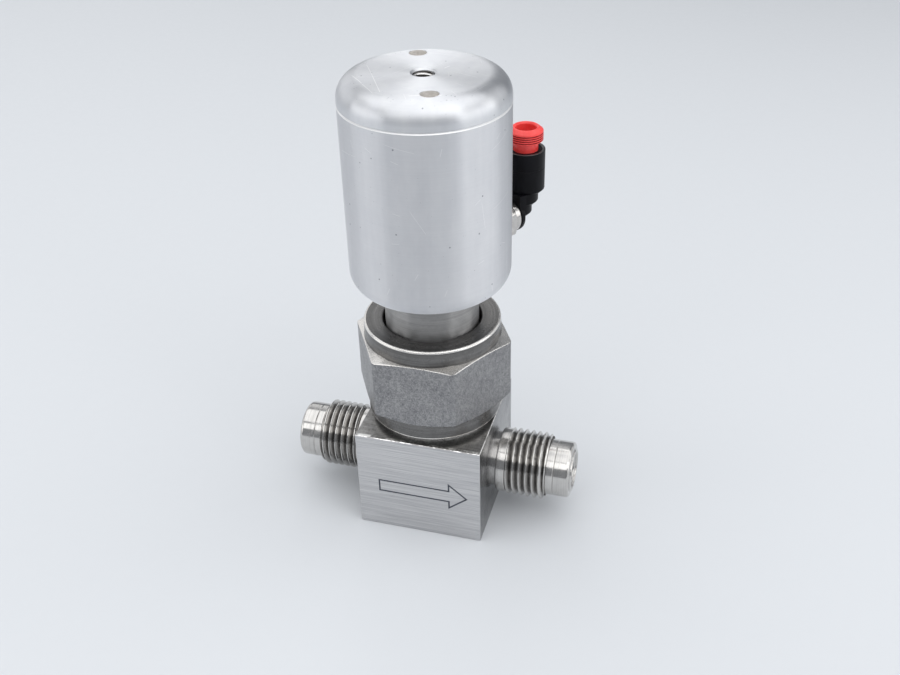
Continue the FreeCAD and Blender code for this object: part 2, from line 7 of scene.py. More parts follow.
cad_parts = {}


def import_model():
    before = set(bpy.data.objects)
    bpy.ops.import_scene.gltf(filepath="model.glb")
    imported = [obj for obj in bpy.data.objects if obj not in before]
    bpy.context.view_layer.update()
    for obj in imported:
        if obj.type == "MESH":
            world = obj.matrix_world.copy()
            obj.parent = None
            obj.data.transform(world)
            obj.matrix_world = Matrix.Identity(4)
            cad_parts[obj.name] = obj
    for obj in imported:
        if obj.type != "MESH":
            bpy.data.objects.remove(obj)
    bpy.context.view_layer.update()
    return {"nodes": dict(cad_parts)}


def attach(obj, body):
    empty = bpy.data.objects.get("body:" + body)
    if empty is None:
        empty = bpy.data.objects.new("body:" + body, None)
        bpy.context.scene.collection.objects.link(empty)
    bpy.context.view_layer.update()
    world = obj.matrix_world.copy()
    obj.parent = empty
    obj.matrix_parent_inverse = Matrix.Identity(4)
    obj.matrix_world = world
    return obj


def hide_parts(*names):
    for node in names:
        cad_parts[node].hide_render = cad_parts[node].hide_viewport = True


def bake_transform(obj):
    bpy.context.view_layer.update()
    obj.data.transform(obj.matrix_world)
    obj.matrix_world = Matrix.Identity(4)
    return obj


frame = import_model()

# Units: sizes below are millimetres and MM turns them into metres
MM = 0.001

# Camera: the place it stands, its turn about the view line and its lens
CAMERA_PLACE = (56.5177, -176.7090, 162.4287)
CAMERA_TARGET = (3.5933, 0.0, 41.2955)
CAMERA_ROLL = -0.0266031
CAMERA_LENS = 43.29
SENSOR_WIDTH = 36.0
CLIP_START = 0.01
CLIP_END = 20.0

# Clearances that pieces share
SCREW_GAP = 0.05
JOURNAL_GAP = 0.08

# Block and its two threaded ends: heights of an end are measured outwards from the block's middle
BLOCK_LENGTH = 26.7
BLOCK_DEPTH = 28.0
BLOCK_HEIGHT = 23.5
BLOCK_FRONT = -BLOCK_DEPTH / 2
BLOCK_EDGE = 0.32
FLOW_HEIGHT = 11.75
FLOW_BORE_R = 2.3
NECK_START = 8.0
NECK_R = 5.9
SHOULDER_R = 6.85
SHOULDER_START = 14.5
THREAD_START = 16.6
THREAD_END = 25.1
THREAD_R = 7.144
THREAD_PITCH = 1.411
THREAD_DEPTH = 0.8
THREAD_LEAD_IN = 0.65
THREAD_CORE_R = THREAD_R - THREAD_DEPTH - 0.12
NOSE_R = 5.95
NOSE_GROOVE = 26.7
NOSE_GROOVE_HALF = 0.16
NOSE_GROOVE_DEPTH = 0.13
NOSE_END = 30.1
BEAD_MID_R = 4.2
BEAD_RISE = 0.35
BEAD_HALF_FOOT = 0.45
BEAD_HALF_CROWN = 0.26
BOSS_R = 12.2
BOSS_TOP = 36.0
CHAMBER_R = 7.6
CHAMBER_FLOOR = 18.0

# Bonnet nut
NUT_FLATS = 28.575
NUT_CORNER_R = 16.35
NUT_COLLAR_R = 13.9
NUT_BOTTOM = 25.0
NUT_HEX_BOTTOM = 28.5
NUT_HEX_TOP = 42.8
NUT_TOP = 46.32
NUT_HOLE_R = 10.0
NUT_LOWER_RISE = 1.41
NUT_TOP_FALL = 0.52
NUT_CHAMFER_STEPS = 24
NUT_FLAT_ROWS = 11
NUT_RIM_R = NUT_COLLAR_R - 0.43
NUT_RIM_HEIGHT = 0.44
NUT_SLOPE = 0.25

# Bonnet neck, actuator housing and cap
BONNET_BOTTOM = 38.0
FLANGE_R = 11.9
BONNET_SHOULDER = 41.3
BONNET_R = 9.45
BONNET_BORE_R = 2.53
SPIGOT_R = 7.0
HOUSING_BOTTOM = 54.5
HOUSING_FLOOR = 58.5
HOUSING_TOP = 91.8
HOUSING_R = 15.875
CYLINDER_R = 13.4
EDGE_R = 4.0
CAP_TOP = 96.8
CAP_ROOF = CAP_TOP - 4
CAP_BOSS_BOTTOM = CAP_TOP - 7
CAP_BOSS_R = 4.6
CAP_INNER_R = 11.6
CAP_PLUG_BOTTOM = 86.9
CAP_PLUG_R = 13.9
CAP_LIP_INSET = 0.12
CAP_LIP_START = 0.06
CAP_LIP_END = 0.18
VENT_R = 2.05
VENT_SINK = 0.35
VENT_PITCH = 0.8
VENT_THREAD_START = CAP_TOP - 6.8
VENT_THREAD_DEPTH = 0.4
SPANNER_CIRCLE_R = 10.7
SPANNER_HOLE_R = 1.65
SPANNER_DEPTH = 2.4
SPANNER_DRILL_POINT = 0.5
SPANNER_MOUTH = 0.14
SPANNER_AZIMUTH = -67.5
SPANNER_MARGIN = 0.05
SEAM_EDGE = 0.3

# Air port, fitting and elbow: reaches are measured outwards from the actuator's axis
PORT_AZIMUTH = 57.6
PORT_HEIGHT = 61.2
PORT_FACE = 15.5
PORT_START = 10.0
PORT_CUT_END = HOUSING_R + 2
STEM_R = 2.5
WASHER_R = 4.0
SPOT_FACE_R = WASHER_R + 0.1
HEX_START = 16.3
HEX_END = 19.9
HEX_FLATS = 8.0
HEX_CORNER_R = 4.6
HEX_FACE_R = 4.15
HEX_BORE_R = 2.4
HEX_CHAMFER = 0.30
COLLAR_R = 3.55
COLLAR_END = 21.7
JOURNAL_END = 23.1
JOURNAL_R = 2.45
ELBOW_REACH = 26.0
ELBOW_R = 4.0
ELBOW_RIM = 74.6
ELBOW_RIM_CHAMFER = 0.15
ELBOW_SEAM = 70.8
ELBOW_SEAM_HALF = 0.10
ELBOW_SEAM_DEPTH = 0.07
SOCKET_BOTTOM = 65.2
TUBE_STOP = 65.4
TUBE_R = 2.05
POCKET_BOTTOM = 67.6
POCKET_R = 3.0
GRAB_BOTTOM = 70.1
LEG_START = 21.78
LEG_END = 23.58
LEG_R = 3.6
LEG_CLEAR_R = 12.0
ELBOW_CHAMFER = 0.9
AIR_WAY_REACH = 23.6
AIR_BORE_R = 1.1
STEP_COUNT = 3
STEP_SHIFT = 1.3
STEP_DROP = 2.2
STEP_SHRINK = 0.35
SOCKET_R = 3.4

# Release button
BUTTON_TOP = 79.2
BUTTON_HEAD_BOTTOM = 76.4
BUTTON_HEAD_R = 3.55
BUTTON_CROWN_R = 2.7
BUTTON_NECK_R = 2.55
BUTTON_BORE_R = 2.13
BUTTON_BOTTOM = 71.3
GROOVE_COUNT = 4
GROOVE_START = BUTTON_HEAD_BOTTOM + 0.24
GROOVE_PITCH = 0.45
GROOVE_WIDTH = 0.24
GROOVE_SLOPE = 0.07
GROOVE_DEPTH = 0.22

# Marks on the cap's top: start, end and width
TOP_SCRATCHES = (
    ((-11.1, 1.4), (-8.3, -3.6), 0.07), ((-8.2, -3.8), (-4.4, -10.9), 0.09),
    ((-11.9, -4.2), (-9.0, -7.4), 0.12), ((-8.9, -7.7), (-5.6, -11.4), 0.08),
    ((3.1, 2.9), (3.6, 4.0), 0.14), ((1.0, -11.6), (2.9, -10.8), 0.12),
    ((5.3, -10.4), (6.2, -10.1), 0.12))

# Flow arrow on the front face, in the face's own x and z
ARROW_TAIL = -8.6
ARROW_BARB = 6.6
ARROW_TIP = 10.4
ARROW_MIDDLE = 11.05
ARROW_HALF_SHAFT = 1.4
ARROW_HALF_HEAD = 3.1
ARROW_LINE = 0.34
ARROW_RISE = 0.006

# Mesh detail: segments in a full turn, points in the rounding of an edge and beside it, degrees
# from which an edge stays sharp, and the distance in metres at which points become one
BIG_TURN = 240
TURN = 160
SMALL_TURN = 96
HOLE_TURN = 64
BORE_TURN = 48
THREAD_ROWS = 18
VENT_THREAD_ROWS = 10
AIR_WAY_TURN = 32
BIG_EDGE_STEPS = 16
EDGE_STEPS = 5
HOLD_SHARE = 0.2
HOLD_MOST = 0.1
SHARP = 35
SHARP_CUT = 32
CUT_OVERRUN = 1
WELD = 1e-7

# Hexagons: degrees of the points beside a corner, and how corners and flats are rounded
CORNER_TURNS = (0, 0.25, 0.5, 0.75, 1.0, 1.3, 1.7, 2.2, 3.0, 4.0, 5.5, 7.5, 10, 13, 16, 19, 22, 25,
                27.5)
CORNER_CUT = 0.12
CORNER_SLOPE = 0.5
CORNER_BLEND = 0.2
FLAT_BLEND = 0.25

# Thread form: how steeply a flank rises, and what is taken off it to flatten the root
THREAD_STEEPNESS = 1.22
THREAD_FLATTENING = 0.08

# Stage, in metres and watts. A lamp has a name, a place, what it faces, its size and its power
FLOOR_SIZE = 3.0
FLOOR_DROP = 0.00002
FLOOR_COLOUR = (0.65, 0.67, 0.695, 1)
SKY_COLOUR = (0.90, 0.94, 1.0, 1)
SKY_STRENGTH = 0.31
MIDDLE = (0, 0, 0.05)
CAP_MIDDLE = (0, 0, 0.097)
LAMPS = (
    ("overhead", (0.0, 0.03, 0.64), MIDDLE, (1.30, 0.74), 3.8),
    ("front", (0.12, -0.42, 0.52), MIDDLE, (1.15, 0.30), 1.7),
    ("left", (-0.463, -0.237, 0.19), MIDDLE, (0.52, 0.26), 0.56),
    ("right", (0.518, -0.02, 0.19), MIDDLE, (0.58, 0.26), 0.74),
    ("back", (-0.155, 0.485, 0.415), CAP_MIDDLE, (0.15, 0.52), 0.27),
    ("back_left", (-0.51, 0.32, 0.25), MIDDLE, (0.62, 0.38), 0.48),
    ("back_right", (0.45, 0.40, 0.27), MIDDLE, (0.44, 0.38), 0.30))

# Places of pieces: their own Z runs along the flow, up, or out through the air port
UPRIGHT = Matrix.Identity(4)
OUTLET = Matrix.Translation((0, 0, FLOW_HEIGHT * MM)) @ Matrix.Rotation(math.radians(90), 4, "Y")
INLET = Matrix.Translation((0, 0, FLOW_HEIGHT * MM)) @ Matrix.Rotation(math.radians(-90), 4, "Y")
TO_PORT = Matrix.Rotation(math.radians(PORT_AZIMUTH), 4, "Z")
PORT = (TO_PORT @ Matrix.Translation((0, 0, PORT_HEIGHT * MM))
        @ Matrix.Rotation(math.radians(90), 4, "Y"))


def upright_at(turned, reach):
    """Upright place at a reach from the actuator's axis, in the direction of a turn about it."""
    return turned @ Matrix.Translation((reach * MM, 0, 0))


SOCKET = upright_at(TO_PORT, ELBOW_REACH)


def new_object(name, data):
    """Object in the scene around some data."""
    made = bpy.data.objects.new(name, data)
    bpy.context.scene.collection.objects.link(made)
    return made


# Camera
def look_at(place, target, roll):
    """Camera matrix at a place, looking at a target, turned about the view line."""
    back = (Vector(place) - Vector(target)).normalized()
    level = Vector((0, 0, 1)).cross(back).normalized()
    upward = back.cross(level)
    right = math.cos(roll) * level + math.sin(roll) * upward
    upward = math.cos(roll) * upward - math.sin(roll) * level
    turned = Matrix((right, upward, back)).transposed().to_4x4()
    return Matrix.Translation(Vector(place) * MM) @ turned


camera = new_object("camera", bpy.data.cameras.new("camera"))
bpy.context.scene.camera = camera
camera.matrix_world = look_at(CAMERA_PLACE, CAMERA_TARGET, CAMERA_ROLL)
camera.data.lens = CAMERA_LENS
camera.data.sensor_width = SENSOR_WIDTH
camera.data.clip_start = CLIP_START
camera.data.clip_end = CLIP_END


# Material building
class Surface:
    """A Principled material and short ways to add to its nodes. Texture sizes are millimetres."""

    def __init__(self, name, metallic=1.0):
        self.material = bpy.data.materials.new(name)
        self.material.use_nodes = True
        self.tree = self.material.node_tree
        self.shader = self.tree.nodes["Principled BSDF"]
        self.set("Metallic", metallic)

    def set(self, socket, value):
        self.feed(self.shader.inputs[socket], value)

    def feed(self, socket, value):
        if isinstance(value, bpy.types.NodeSocket):
            self.tree.links.new(value, socket)
        else:
            socket.default_value = value

    def node(self, kind, inputs, out=0, **options):
        made = self.tree.nodes.new("ShaderNode" + kind)
        for name, value in options.items():
            setattr(made, name, value)
        for name, value in inputs.items():
            self.feed(made.inputs[name], value)
        return made.outputs[out]

    def math(self, operation, a, b=0.0, c=0.0):
        return self.node("Math", {0: a, 1: b, 2: c}, operation=operation)

    def vector(self, operation, a, b):
        return self.node("VectorMath", {0: a, 1: b}, operation=operation)

    def length(self, vector):
        return self.node("VectorMath", {0: vector}, out="Value", operation="LENGTH")

    def axes(self, point):
        """The X, Y and Z of a point."""
        parts = self.tree.nodes.new("ShaderNodeSeparateXYZ")
        self.feed(parts.inputs[0], point)
        return parts.outputs

    def place(self, stretch=1):
        """Object coordinates in millimetres, divided by a stretch, evenly or along each axis."""
        point = self.node("TexCoord", {}, out="Object")
        each = stretch if isinstance(stretch, tuple) else (stretch,) * 3
        return self.vector("MULTIPLY", point, [1 / (MM * s) for s in each])

    def flat_place(self):
        """Object coordinates in millimetres without their Z."""
        return self.vector("MULTIPLY", self.place(), (1, 1, 0))

    def turned_place(self, across, along):
        """Coordinates that change quickly across turning marks about Z and slowly along them."""
        point = self.node("TexCoord", {}, out="Object")
        radius = self.length(self.vector("MULTIPLY", point, (1, 1, 0)))
        x, y, z = self.axes(point)
        fast, slow = 1 / (MM * across), 1 / (MM * along)
        round_it = self.math("MULTIPLY_ADD", x, slow, self.math("MULTIPLY", y, slow * 0.7))
        return self.node("CombineXYZ", {"X": self.math("MULTIPLY", radius, fast),
                                        "Y": self.math("MULTIPLY", z, fast), "Z": round_it})

    def side_place(self, radius):
        """Flat coordinates in millimetres on an upright cylinder: round it, and along it."""
        x, y, z = self.axes(self.place())
        turn = self.math("ARCTAN2", y, x)
        return self.node("CombineXYZ", {"X": self.math("MULTIPLY", turn, radius), "Y": z})

    def noise(self, point, detail=3.0, roughness=0.5):
        return self.node("TexNoise", {"Vector": point, "Scale": 1.0, "Detail": detail,
                                      "Roughness": roughness})

    def remap(self, value, low, high, new_low, new_high):
        return self.node("MapRange", {"Value": value, "From Min": low, "From Max": high,
                                      "To Min": new_low, "To Max": new_high})

    def share(self, part, first, second):
        """A part of one value and the rest of another."""
        return self.math("ADD", self.math("MULTIPLY", first, part),
                         self.math("MULTIPLY", second, 1 - part))

    def blend(self, share, first, second):
        return self.node("Mix", {"Factor": share, 6: first, 7: second}, out=2, data_type="RGBA")

    def tint(self, share, first, second):
        return self.blend(share, (*first, 1), (*second, 1))

    def shades(self, value, low, high, first, second):
        """Colour that runs from first to second as a value runs from low to high."""
        return self.tint(self.remap(value, low, high, 0, 1), first, second)

    def uneven(self, first, second):
        """Roughness from two sources, each a value, its range and what the range adds."""
        self.set("Roughness", self.math("ADD", self.remap(*first), self.remap(*second)))

    def bump(self, height, depth):
        """Bump of a depth in millimetres."""
        self.set("Normal", self.node("Bump", {"Height": height, "Distance": depth * MM,
                                              "Strength": 1.0}))

    def streak(self, amount):
        """Stretch what the metal reflects along the piece's own axis, as turning marks do."""
        self.set("Anisotropic", amount)
        self.set("Anisotropic Rotation", 0.25)
        self.set("Tangent", self.node("Tangent", {}, direction_type="RADIAL", axis="Z"))


def scratches(s, flat, spacing, width, length, share, seed):
    """Straight scratches at random turns on flat coordinates: 1 on a scratch and 0 off it."""
    shifted = s.vector("ADD", flat, (seed, seed * 1.7, 0))
    scaled = s.node("VectorMath", {0: shifted, "Scale": 1 / spacing}, operation="SCALE")
    cells = s.tree.nodes.new("ShaderNodeTexVoronoi")
    cells.voronoi_dimensions = "2D"
    cells.inputs["Scale"].default_value = 1.0
    s.feed(cells.inputs["Vector"], scaled)
    chance = s.tree.nodes.new("ShaderNodeSeparateColor")
    s.feed(chance.inputs[0], cells.outputs["Color"])
    offset = s.vector("SUBTRACT", scaled, cells.outputs["Position"])
    angle = s.math("MULTIPLY", chance.outputs[0], math.pi)
    turned = s.node("VectorRotate", {"Vector": offset, "Angle": angle}, rotation_type="Z_AXIS")
    x, y, _ = s.axes(turned)
    end = 0.5 * length / spacing
    across = s.remap(s.math("ABSOLUTE", x), 0.0, width / spacing, 1.0, 0.0)
    along = s.remap(s.math("ABSOLUTE", y), end * 0.8, end, 1.0, 0.0)
    kept = s.math("LESS_THAN", chance.outputs[1], share)
    return s.math("MULTIPLY", s.math("MULTIPLY", across, along), kept)


def mark_line(s, flat, start, end, width):
    """One straight mark between two points of flat coordinates: 1 on it and 0 off it."""
    start, end = Vector((*start, 0)), Vector((*end, 0))
    run = end - start
    from_start = s.vector("SUBTRACT", flat, start)
    share = s.node("VectorMath", {0: from_start, 1: run / run.length_squared}, out="Value",
                   operation="DOT_PRODUCT")
    share = s.math("MINIMUM", s.math("MAXIMUM", share, 0.0), 1.0)
    nearest = s.node("VectorMath", {0: tuple(run), "Scale": share}, operation="SCALE")
    distance = s.length(s.vector("SUBTRACT", from_start, nearest))
    return s.remap(distance, 0.3 * width, width, 1.0, 0.0)


def pits(s, spacing, size):
    """Small round marks in the metal: 1 in a mark and 0 off it."""
    cells = s.node("TexVoronoi", {"Vector": s.place(spacing), "Scale": 1.0})
    return s.remap(cells, 0.6 * size / spacing, size / spacing, 1.0, 0.0)


def brushed_steel():
    """Block faces: straight grinding lines along the flow, uneven in depth and brightness."""
    s = Surface("block_brushed_steel")
    fine = s.noise(s.place((9.0, 0.07, 0.07)), detail=4.0, roughness=0.7)
    broad = s.noise(s.place((18.0, 0.22, 0.22)), detail=2.0)
    cloud = s.noise(s.place(6))
    lines = s.share(0.65, fine, broad)
    s.set("Base Color", s.shades(lines, 0.36, 0.64, (0.43, 0.43, 0.445), (0.72, 0.715, 0.71)))
    s.uneven((lines, 0.3, 0.7, 0.44, 0.28), (cloud, 0.3, 0.7, -0.05, 0.06))
    x, _, z = s.axes(s.place())
    front = s.node("CombineXYZ", {"X": x, "Y": z})
    nick = scratches(s, front, 5.0, 0.07, 2.4, 0.5, 3.0)
    s.bump(s.math("SUBTRACT", lines, s.math("MULTIPLY", nick, 0.5)), 0.012)
    return s.material


def block_top_steel():
    """Block top: darker, with scuffs that cross one another, and a bright strip at the front,
    partly rubbed wear and partly a painted highlight of the front edge.
    """
    s = Surface("block_top_steel")
    long_marks = s.noise(s.place((5.0, 0.10, 1)), detail=4.0, roughness=0.7)
    cross_marks = s.noise(s.place((0.14, 3.0, 1)), detail=4.0, roughness=0.7)
    stain = s.noise(s.place((1.6, 1.6, 1)), detail=5.0, roughness=0.65)
    lines = s.share(0.6, long_marks, cross_marks)
    mixed = s.share(0.6, lines, stain)
    _, y, _ = s.axes(s.place())
    wear = s.noise(s.place(4.5), roughness=0.7)
    # Bright strip along the front: rubbed wear, and a painted highlight of the front edge
    rubbed_and_highlight = s.math("MULTIPLY", s.remap(y, BLOCK_FRONT + 1.0, BLOCK_FRONT + 0.6, 0.0, 1.0),
                    s.remap(wear, 0.46, 0.53, 0.0, 1.0))
    base = s.shades(mixed, 0.40, 0.62, (0.18, 0.174, 0.167), (0.53, 0.522, 0.513))
    s.set("Base Color", s.blend(rubbed_and_highlight, base, (0.93, 0.92, 0.90, 1)))
    s.set("Roughness", s.remap(mixed, 0.38, 0.62, 0.46, 0.26))
    s.bump(lines, 0.012)
    return s.material


def block_side_shaded_steel():
    """Sides of the block that carry the ends: smoother, with faint upright marks, and darkened as
    painted shade.
    """
    s = Surface("block_side_shaded_steel")
    marks = s.noise(s.place((1, 0.12, 7.0)), detail=4.0, roughness=0.65)
    cloud = s.noise(s.place(4), detail=4.0)
    mixed = s.share(0.6, marks, cloud)
    # Painted shade: a dark copy of the block's steel, standing in for the shade on these sides
    s.set("Base Color", s.shades(mixed, 0.38, 0.62, (0.17, 0.17, 0.18), (0.33, 0.328, 0.325)))
    s.set("Roughness", s.remap(mixed, 0.35, 0.65, 0.32, 0.20))
    s.bump(marks, 0.006)
    return s.material


def edge_wear_and_highlight():
    """Narrow chamfers where handling has polished the steel in short stretches, brightened further
    as a painted highlight of the edges.
    """
    s = Surface("steel_edge_wear_and_highlight")
    wear = s.noise(s.place(3.2), roughness=0.75)
    fine = s.noise(s.place(0.5), detail=2.0)
    mixed = s.share(0.7, wear, fine)
    # Painted highlight: the bright end of this colour stands in for light caught along the top
    # edges
    s.set("Base Color", s.shades(mixed, 0.42, 0.54, (0.42, 0.41, 0.40), (0.93, 0.92, 0.90)))
    s.set("Roughness", s.remap(mixed, 0.40, 0.58, 0.5, 0.22))
    s.bump(mixed, 0.01)
    return s.material


def mottled_steel():
    """Nut flats: grainy steel, stained in small patches, with fine pits."""
    s = Surface("nut_mottled_steel")
    grain = s.noise(s.place(0.2), detail=4.0, roughness=0.7)
    patch = s.noise(s.place((0.8, 0.8, 1.0)), detail=5.0, roughness=0.7)
    broad = s.noise(s.place(5), detail=2.0)
    mixed = s.share(0.7, grain, patch)
    worn = s.share(0.12, broad, mixed)
    base = s.shades(worn, 0.41, 0.59, (0.185, 0.185, 0.197), (0.395, 0.393, 0.39))
    hole = pits(s, 1.6, 0.16)
    s.set("Base Color", s.blend(s.math("MULTIPLY", hole, 0.7), base, (0.10, 0.10, 0.11, 1)))
    s.set("Roughness", s.remap(worn, 0.38, 0.62, 0.50, 0.33))
    s.bump(s.math("SUBTRACT", mixed, hole), 0.028)
    return s.material


def turned_steel(name, colour, roughness, grain, depth, dark=0.72, sheen=0.7, painted_root_shade=False):
    """Lathe-cut steel: fine rings about the piece's own axis, and painted shade that darkens a
    thread's roots.
    """
    s = Surface(name)
    rings = s.noise(s.turned_place(grain, 14.0), roughness=0.6)
    bands = s.noise(s.turned_place(grain * 7, 30.0), detail=1.0)
    stain = s.noise(s.place(1.8), detail=5.0, roughness=0.65)
    lines = s.share(0.65, rings, bands)
    shade = [dark * c for c in colour]
    base = s.shades(s.share(0.35, stain, lines), 0.40, 0.60, shade, colour)
    # Painted shade: the colour darkens towards the thread's roots, where shade falls, varied by the
    # stain noise
    if painted_root_shade:
        root = THREAD_R - THREAD_DEPTH
        _, _, z = s.axes(s.place())
        on_thread = s.math("MULTIPLY", s.math("GREATER_THAN", z, THREAD_START),
                           s.math("LESS_THAN", z, THREAD_END - 0.3))
        root_shade = s.math("MULTIPLY", s.remap(s.length(s.flat_place()), root, root + 0.55, 0.95, 0.0),
                       s.remap(stain, 0.3, 0.6, 0.7, 1.0))
        base = s.blend(s.math("MULTIPLY", root_shade, on_thread), base, (0.06, 0.055, 0.05, 1))
    s.set("Base Color", base)
    s.uneven((lines, 0.3, 0.7, roughness + 0.06, roughness - 0.05),
             (stain, 0.35, 0.7, -0.03, 0.07))
    s.bump(lines, depth)
    s.streak(sheen)
    return s.material


def top_marks(s):
    """Marks of the cap: scratches on its top, and pits on the part of the rim that is handled."""
    flat = s.flat_place()
    radius = s.length(flat)
    line = s.math("MAXIMUM", scratches(s, flat, 8.0, 0.05, 6.0, 0.5, 5.0),
                  scratches(s, flat, 4.0, 0.04, 2.2, 0.4, 31.0))
    for start, end, width in TOP_SCRATCHES:
        line = s.math("MAXIMUM", line, mark_line(s, flat, start, end, width))
    line = s.math("MULTIPLY", line, s.remap(radius, 12.5, 14.0, 1.0, 0.0))
    handled = s.noise(s.place(6.0), detail=1.0)
    worn_rim = s.math("MULTIPLY", s.remap(radius, 11.2, 12.0, 0.0, 1.0),
                      s.remap(radius, 13.0, 14.0, 1.0, 0.0))
    rim_pits = s.math("MULTIPLY", pits(s, 0.7, 0.16), s.remap(handled, 0.52, 0.62, 0.0, 1.0))
    return line, s.math("MULTIPLY", rim_pits, worn_rim)


def side_marks(s):
    """Scratches round the housing."""
    flat = s.side_place(HOUSING_R)
    return s.math("MAXIMUM", scratches(s, flat, 11.0, 0.05, 6.0, 0.5, 9.0),
                  scratches(s, flat, 5.5, 0.06, 1.6, 0.5, 40.0))


def satin_aluminium(name, low, high, rough, sheen, marked_top):
    """Satin turned aluminium with faint upright bands, smudges, small pits and fine scratches."""
    s = Surface(name)
    rings = s.noise(s.turned_place(0.25, 40.0), detail=2.0, roughness=0.6)
    upright = s.noise(s.place((2.4, 2.4, 140)), detail=2.0)
    smudge = s.noise(s.place((5.0, 5.0, 9.0)), detail=5.0, roughness=0.6)
    pit = s.math("MAXIMUM", pits(s, 3.0, 0.20), s.math("MULTIPLY", pits(s, 1.3, 0.07), 0.7))
    if marked_top:
        line, rim_pit = top_marks(s)
        pit = s.math("MAXIMUM", pit, rim_pit)
    else:
        line = side_marks(s)
    tone = s.math("ADD", s.math("MULTIPLY", upright, 0.35), s.math("MULTIPLY", smudge, 0.5))
    tone = s.math("MULTIPLY_ADD", rings, 0.15, tone)
    base = s.shades(tone, 0.36, 0.64, low, high)
    pale = s.blend(s.math("MULTIPLY", line, 0.75), base, (0.96, 0.96, 0.965, 1))
    s.set("Base Color", s.blend(s.math("MULTIPLY", pit, 0.75), pale, (0.20, 0.21, 0.24, 1)))
    s.uneven((smudge, 0.3, 0.7, *rough), (rings, 0.3, 0.7, -0.015, 0.015))
    s.bump(s.math("SUBTRACT", s.math("MULTIPLY", rings, 0.25), s.math("MAXIMUM", pit, line)), 0.006)
    s.streak(sheen)
    return s.material


def drilled_aluminium():
    """Walls and floor of the spanner holes: bare, pale and a little warm."""
    s = Surface("cap_drilled_aluminium")
    grain = s.noise(s.place((0.5, 0.5, 0.12)))
    s.set("Base Color", s.shades(grain, 0.35, 0.65, (0.84, 0.82, 0.79), (0.95, 0.93, 0.91)))
    s.set("Roughness", s.remap(grain, 0.3, 0.7, 0.42, 0.58))
    s.bump(grain, 0.01)
    return s.material


def cut_thread():
    """Thread inside the vent: bright crests next to the bore, and painted shade that darkens its
    roots.
    """
    s = Surface("cap_cut_thread")
    grain = s.noise(s.place(0.2))
    radius = s.length(s.flat_place())
    # Painted shade: the colour darkens from the crests into the roots
    crest = s.math("MULTIPLY", s.remap(radius, VENT_R - 0.36, VENT_R - 0.12, 1.0, 0.0),
                   s.remap(grain, 0.3, 0.7, 0.8, 1.0))
    s.set("Base Color", s.tint(crest, (0.07, 0.065, 0.06), (0.92, 0.91, 0.90)))
    s.set("Roughness", s.remap(grain, 0.3, 0.7, 0.2, 0.34))
    return s.material


def nickel_plate():
    """Fitting's stem: bright plating, slightly uneven."""
    s = Surface("fitting_nickel_plate")
    wear = s.noise(s.place(0.7), detail=5.0, roughness=0.6)
    s.set("Base Color", s.shades(wear, 0.35, 0.65, (0.50, 0.483, 0.465), (0.62, 0.60, 0.58)))
    s.set("Roughness", s.remap(wear, 0.3, 0.7, 0.26, 0.14))
    s.bump(wear, 0.006)
    return s.material


def black_resin(name, roughness, shine):
    """Moulded resin with a fine moulded grain."""
    s = Surface(name, metallic=0.0)
    grain = s.noise(s.place(0.16), detail=4.0, roughness=0.6)
    flow = s.noise(s.place((2.5, 2.5, 6.0)), detail=2.0)
    s.set("Base Color", s.shades(flow, 0.35, 0.65, (0.002, 0.002, 0.003), (0.005, 0.005, 0.007)))
    s.uneven((grain, 0.3, 0.7, roughness - 0.04, roughness + 0.06), (flow, 0.3, 0.7, -0.03, 0.05))
    s.set("Specular IOR Level", shine)
    s.bump(grain, 0.006)
    return s.material


def red_plastic(name, low, high):
    """Button: slightly clear moulded plastic."""
    s = Surface(name, metallic=0.0)
    flow = s.noise(s.place((1.6, 1.6, 1.2)))
    s.set("Base Color", s.shades(flow, 0.35, 0.65, low, high))
    s.set("Roughness", s.remap(s.noise(s.place(0.2)), 0.3, 0.7, 0.26, 0.36))
    s.set("Subsurface Weight", 0.08)
    s.set("Subsurface Radius", (0.4 * MM, 0.1 * MM, 0.1 * MM))
    s.set("Subsurface Scale", 1.0)
    s.bump(flow, 0.01)
    return s.material


def etched_line():
    """Dark line of the flow arrow, with grinding marks showing through."""
    s = Surface("arrow_etched_line", metallic=0.35)
    grain = s.noise(s.place((1.2, 0.1, 0.12)), detail=4.0, roughness=0.7)
    s.set("Base Color", s.shades(grain, 0.35, 0.72, (0.018, 0.021, 0.032), (0.13, 0.14, 0.17)))
    s.set("Roughness", s.remap(grain, 0.3, 0.7, 0.6, 0.42))
    return s.material


def plain(name, metallic, size, low, high, rough, depth, detail=4.0, roughness=0.5):
    """Inner piece of one even grain, which runs its colour from low to high."""
    s = Surface(name, metallic)
    grain = s.noise(s.place(size), detail, roughness)
    s.set("Base Color", s.tint(grain, low, high))
    s.set("Roughness", s.remap(grain, 0.3, 0.7, *rough))
    s.bump(grain, depth)
    return s.material


BRUSHED = brushed_steel()
BLOCK_TOP = block_top_steel()
BLOCK_SIDE_SHADED = block_side_shaded_steel()
EDGE_WEAR_AND_HIGHLIGHT = edge_wear_and_highlight()
MOTTLED = mottled_steel()
# The ends' threads carry painted shade in their roots
ENDS_TURNED = turned_steel("ends_turned_steel", (0.64, 0.625, 0.605), 0.18, 0.15, 0.002, dark=0.82,
                           painted_root_shade=True)
# Painted highlight: a much brighter copy of the nut's turned steel, for its upward chamfers and the
# rims of its collars
NUT_EDGE_HIGHLIGHT = turned_steel("nut_chamfer_highlight", (0.86, 0.835, 0.80), 0.24, 0.30, 0.002, dark=0.88)
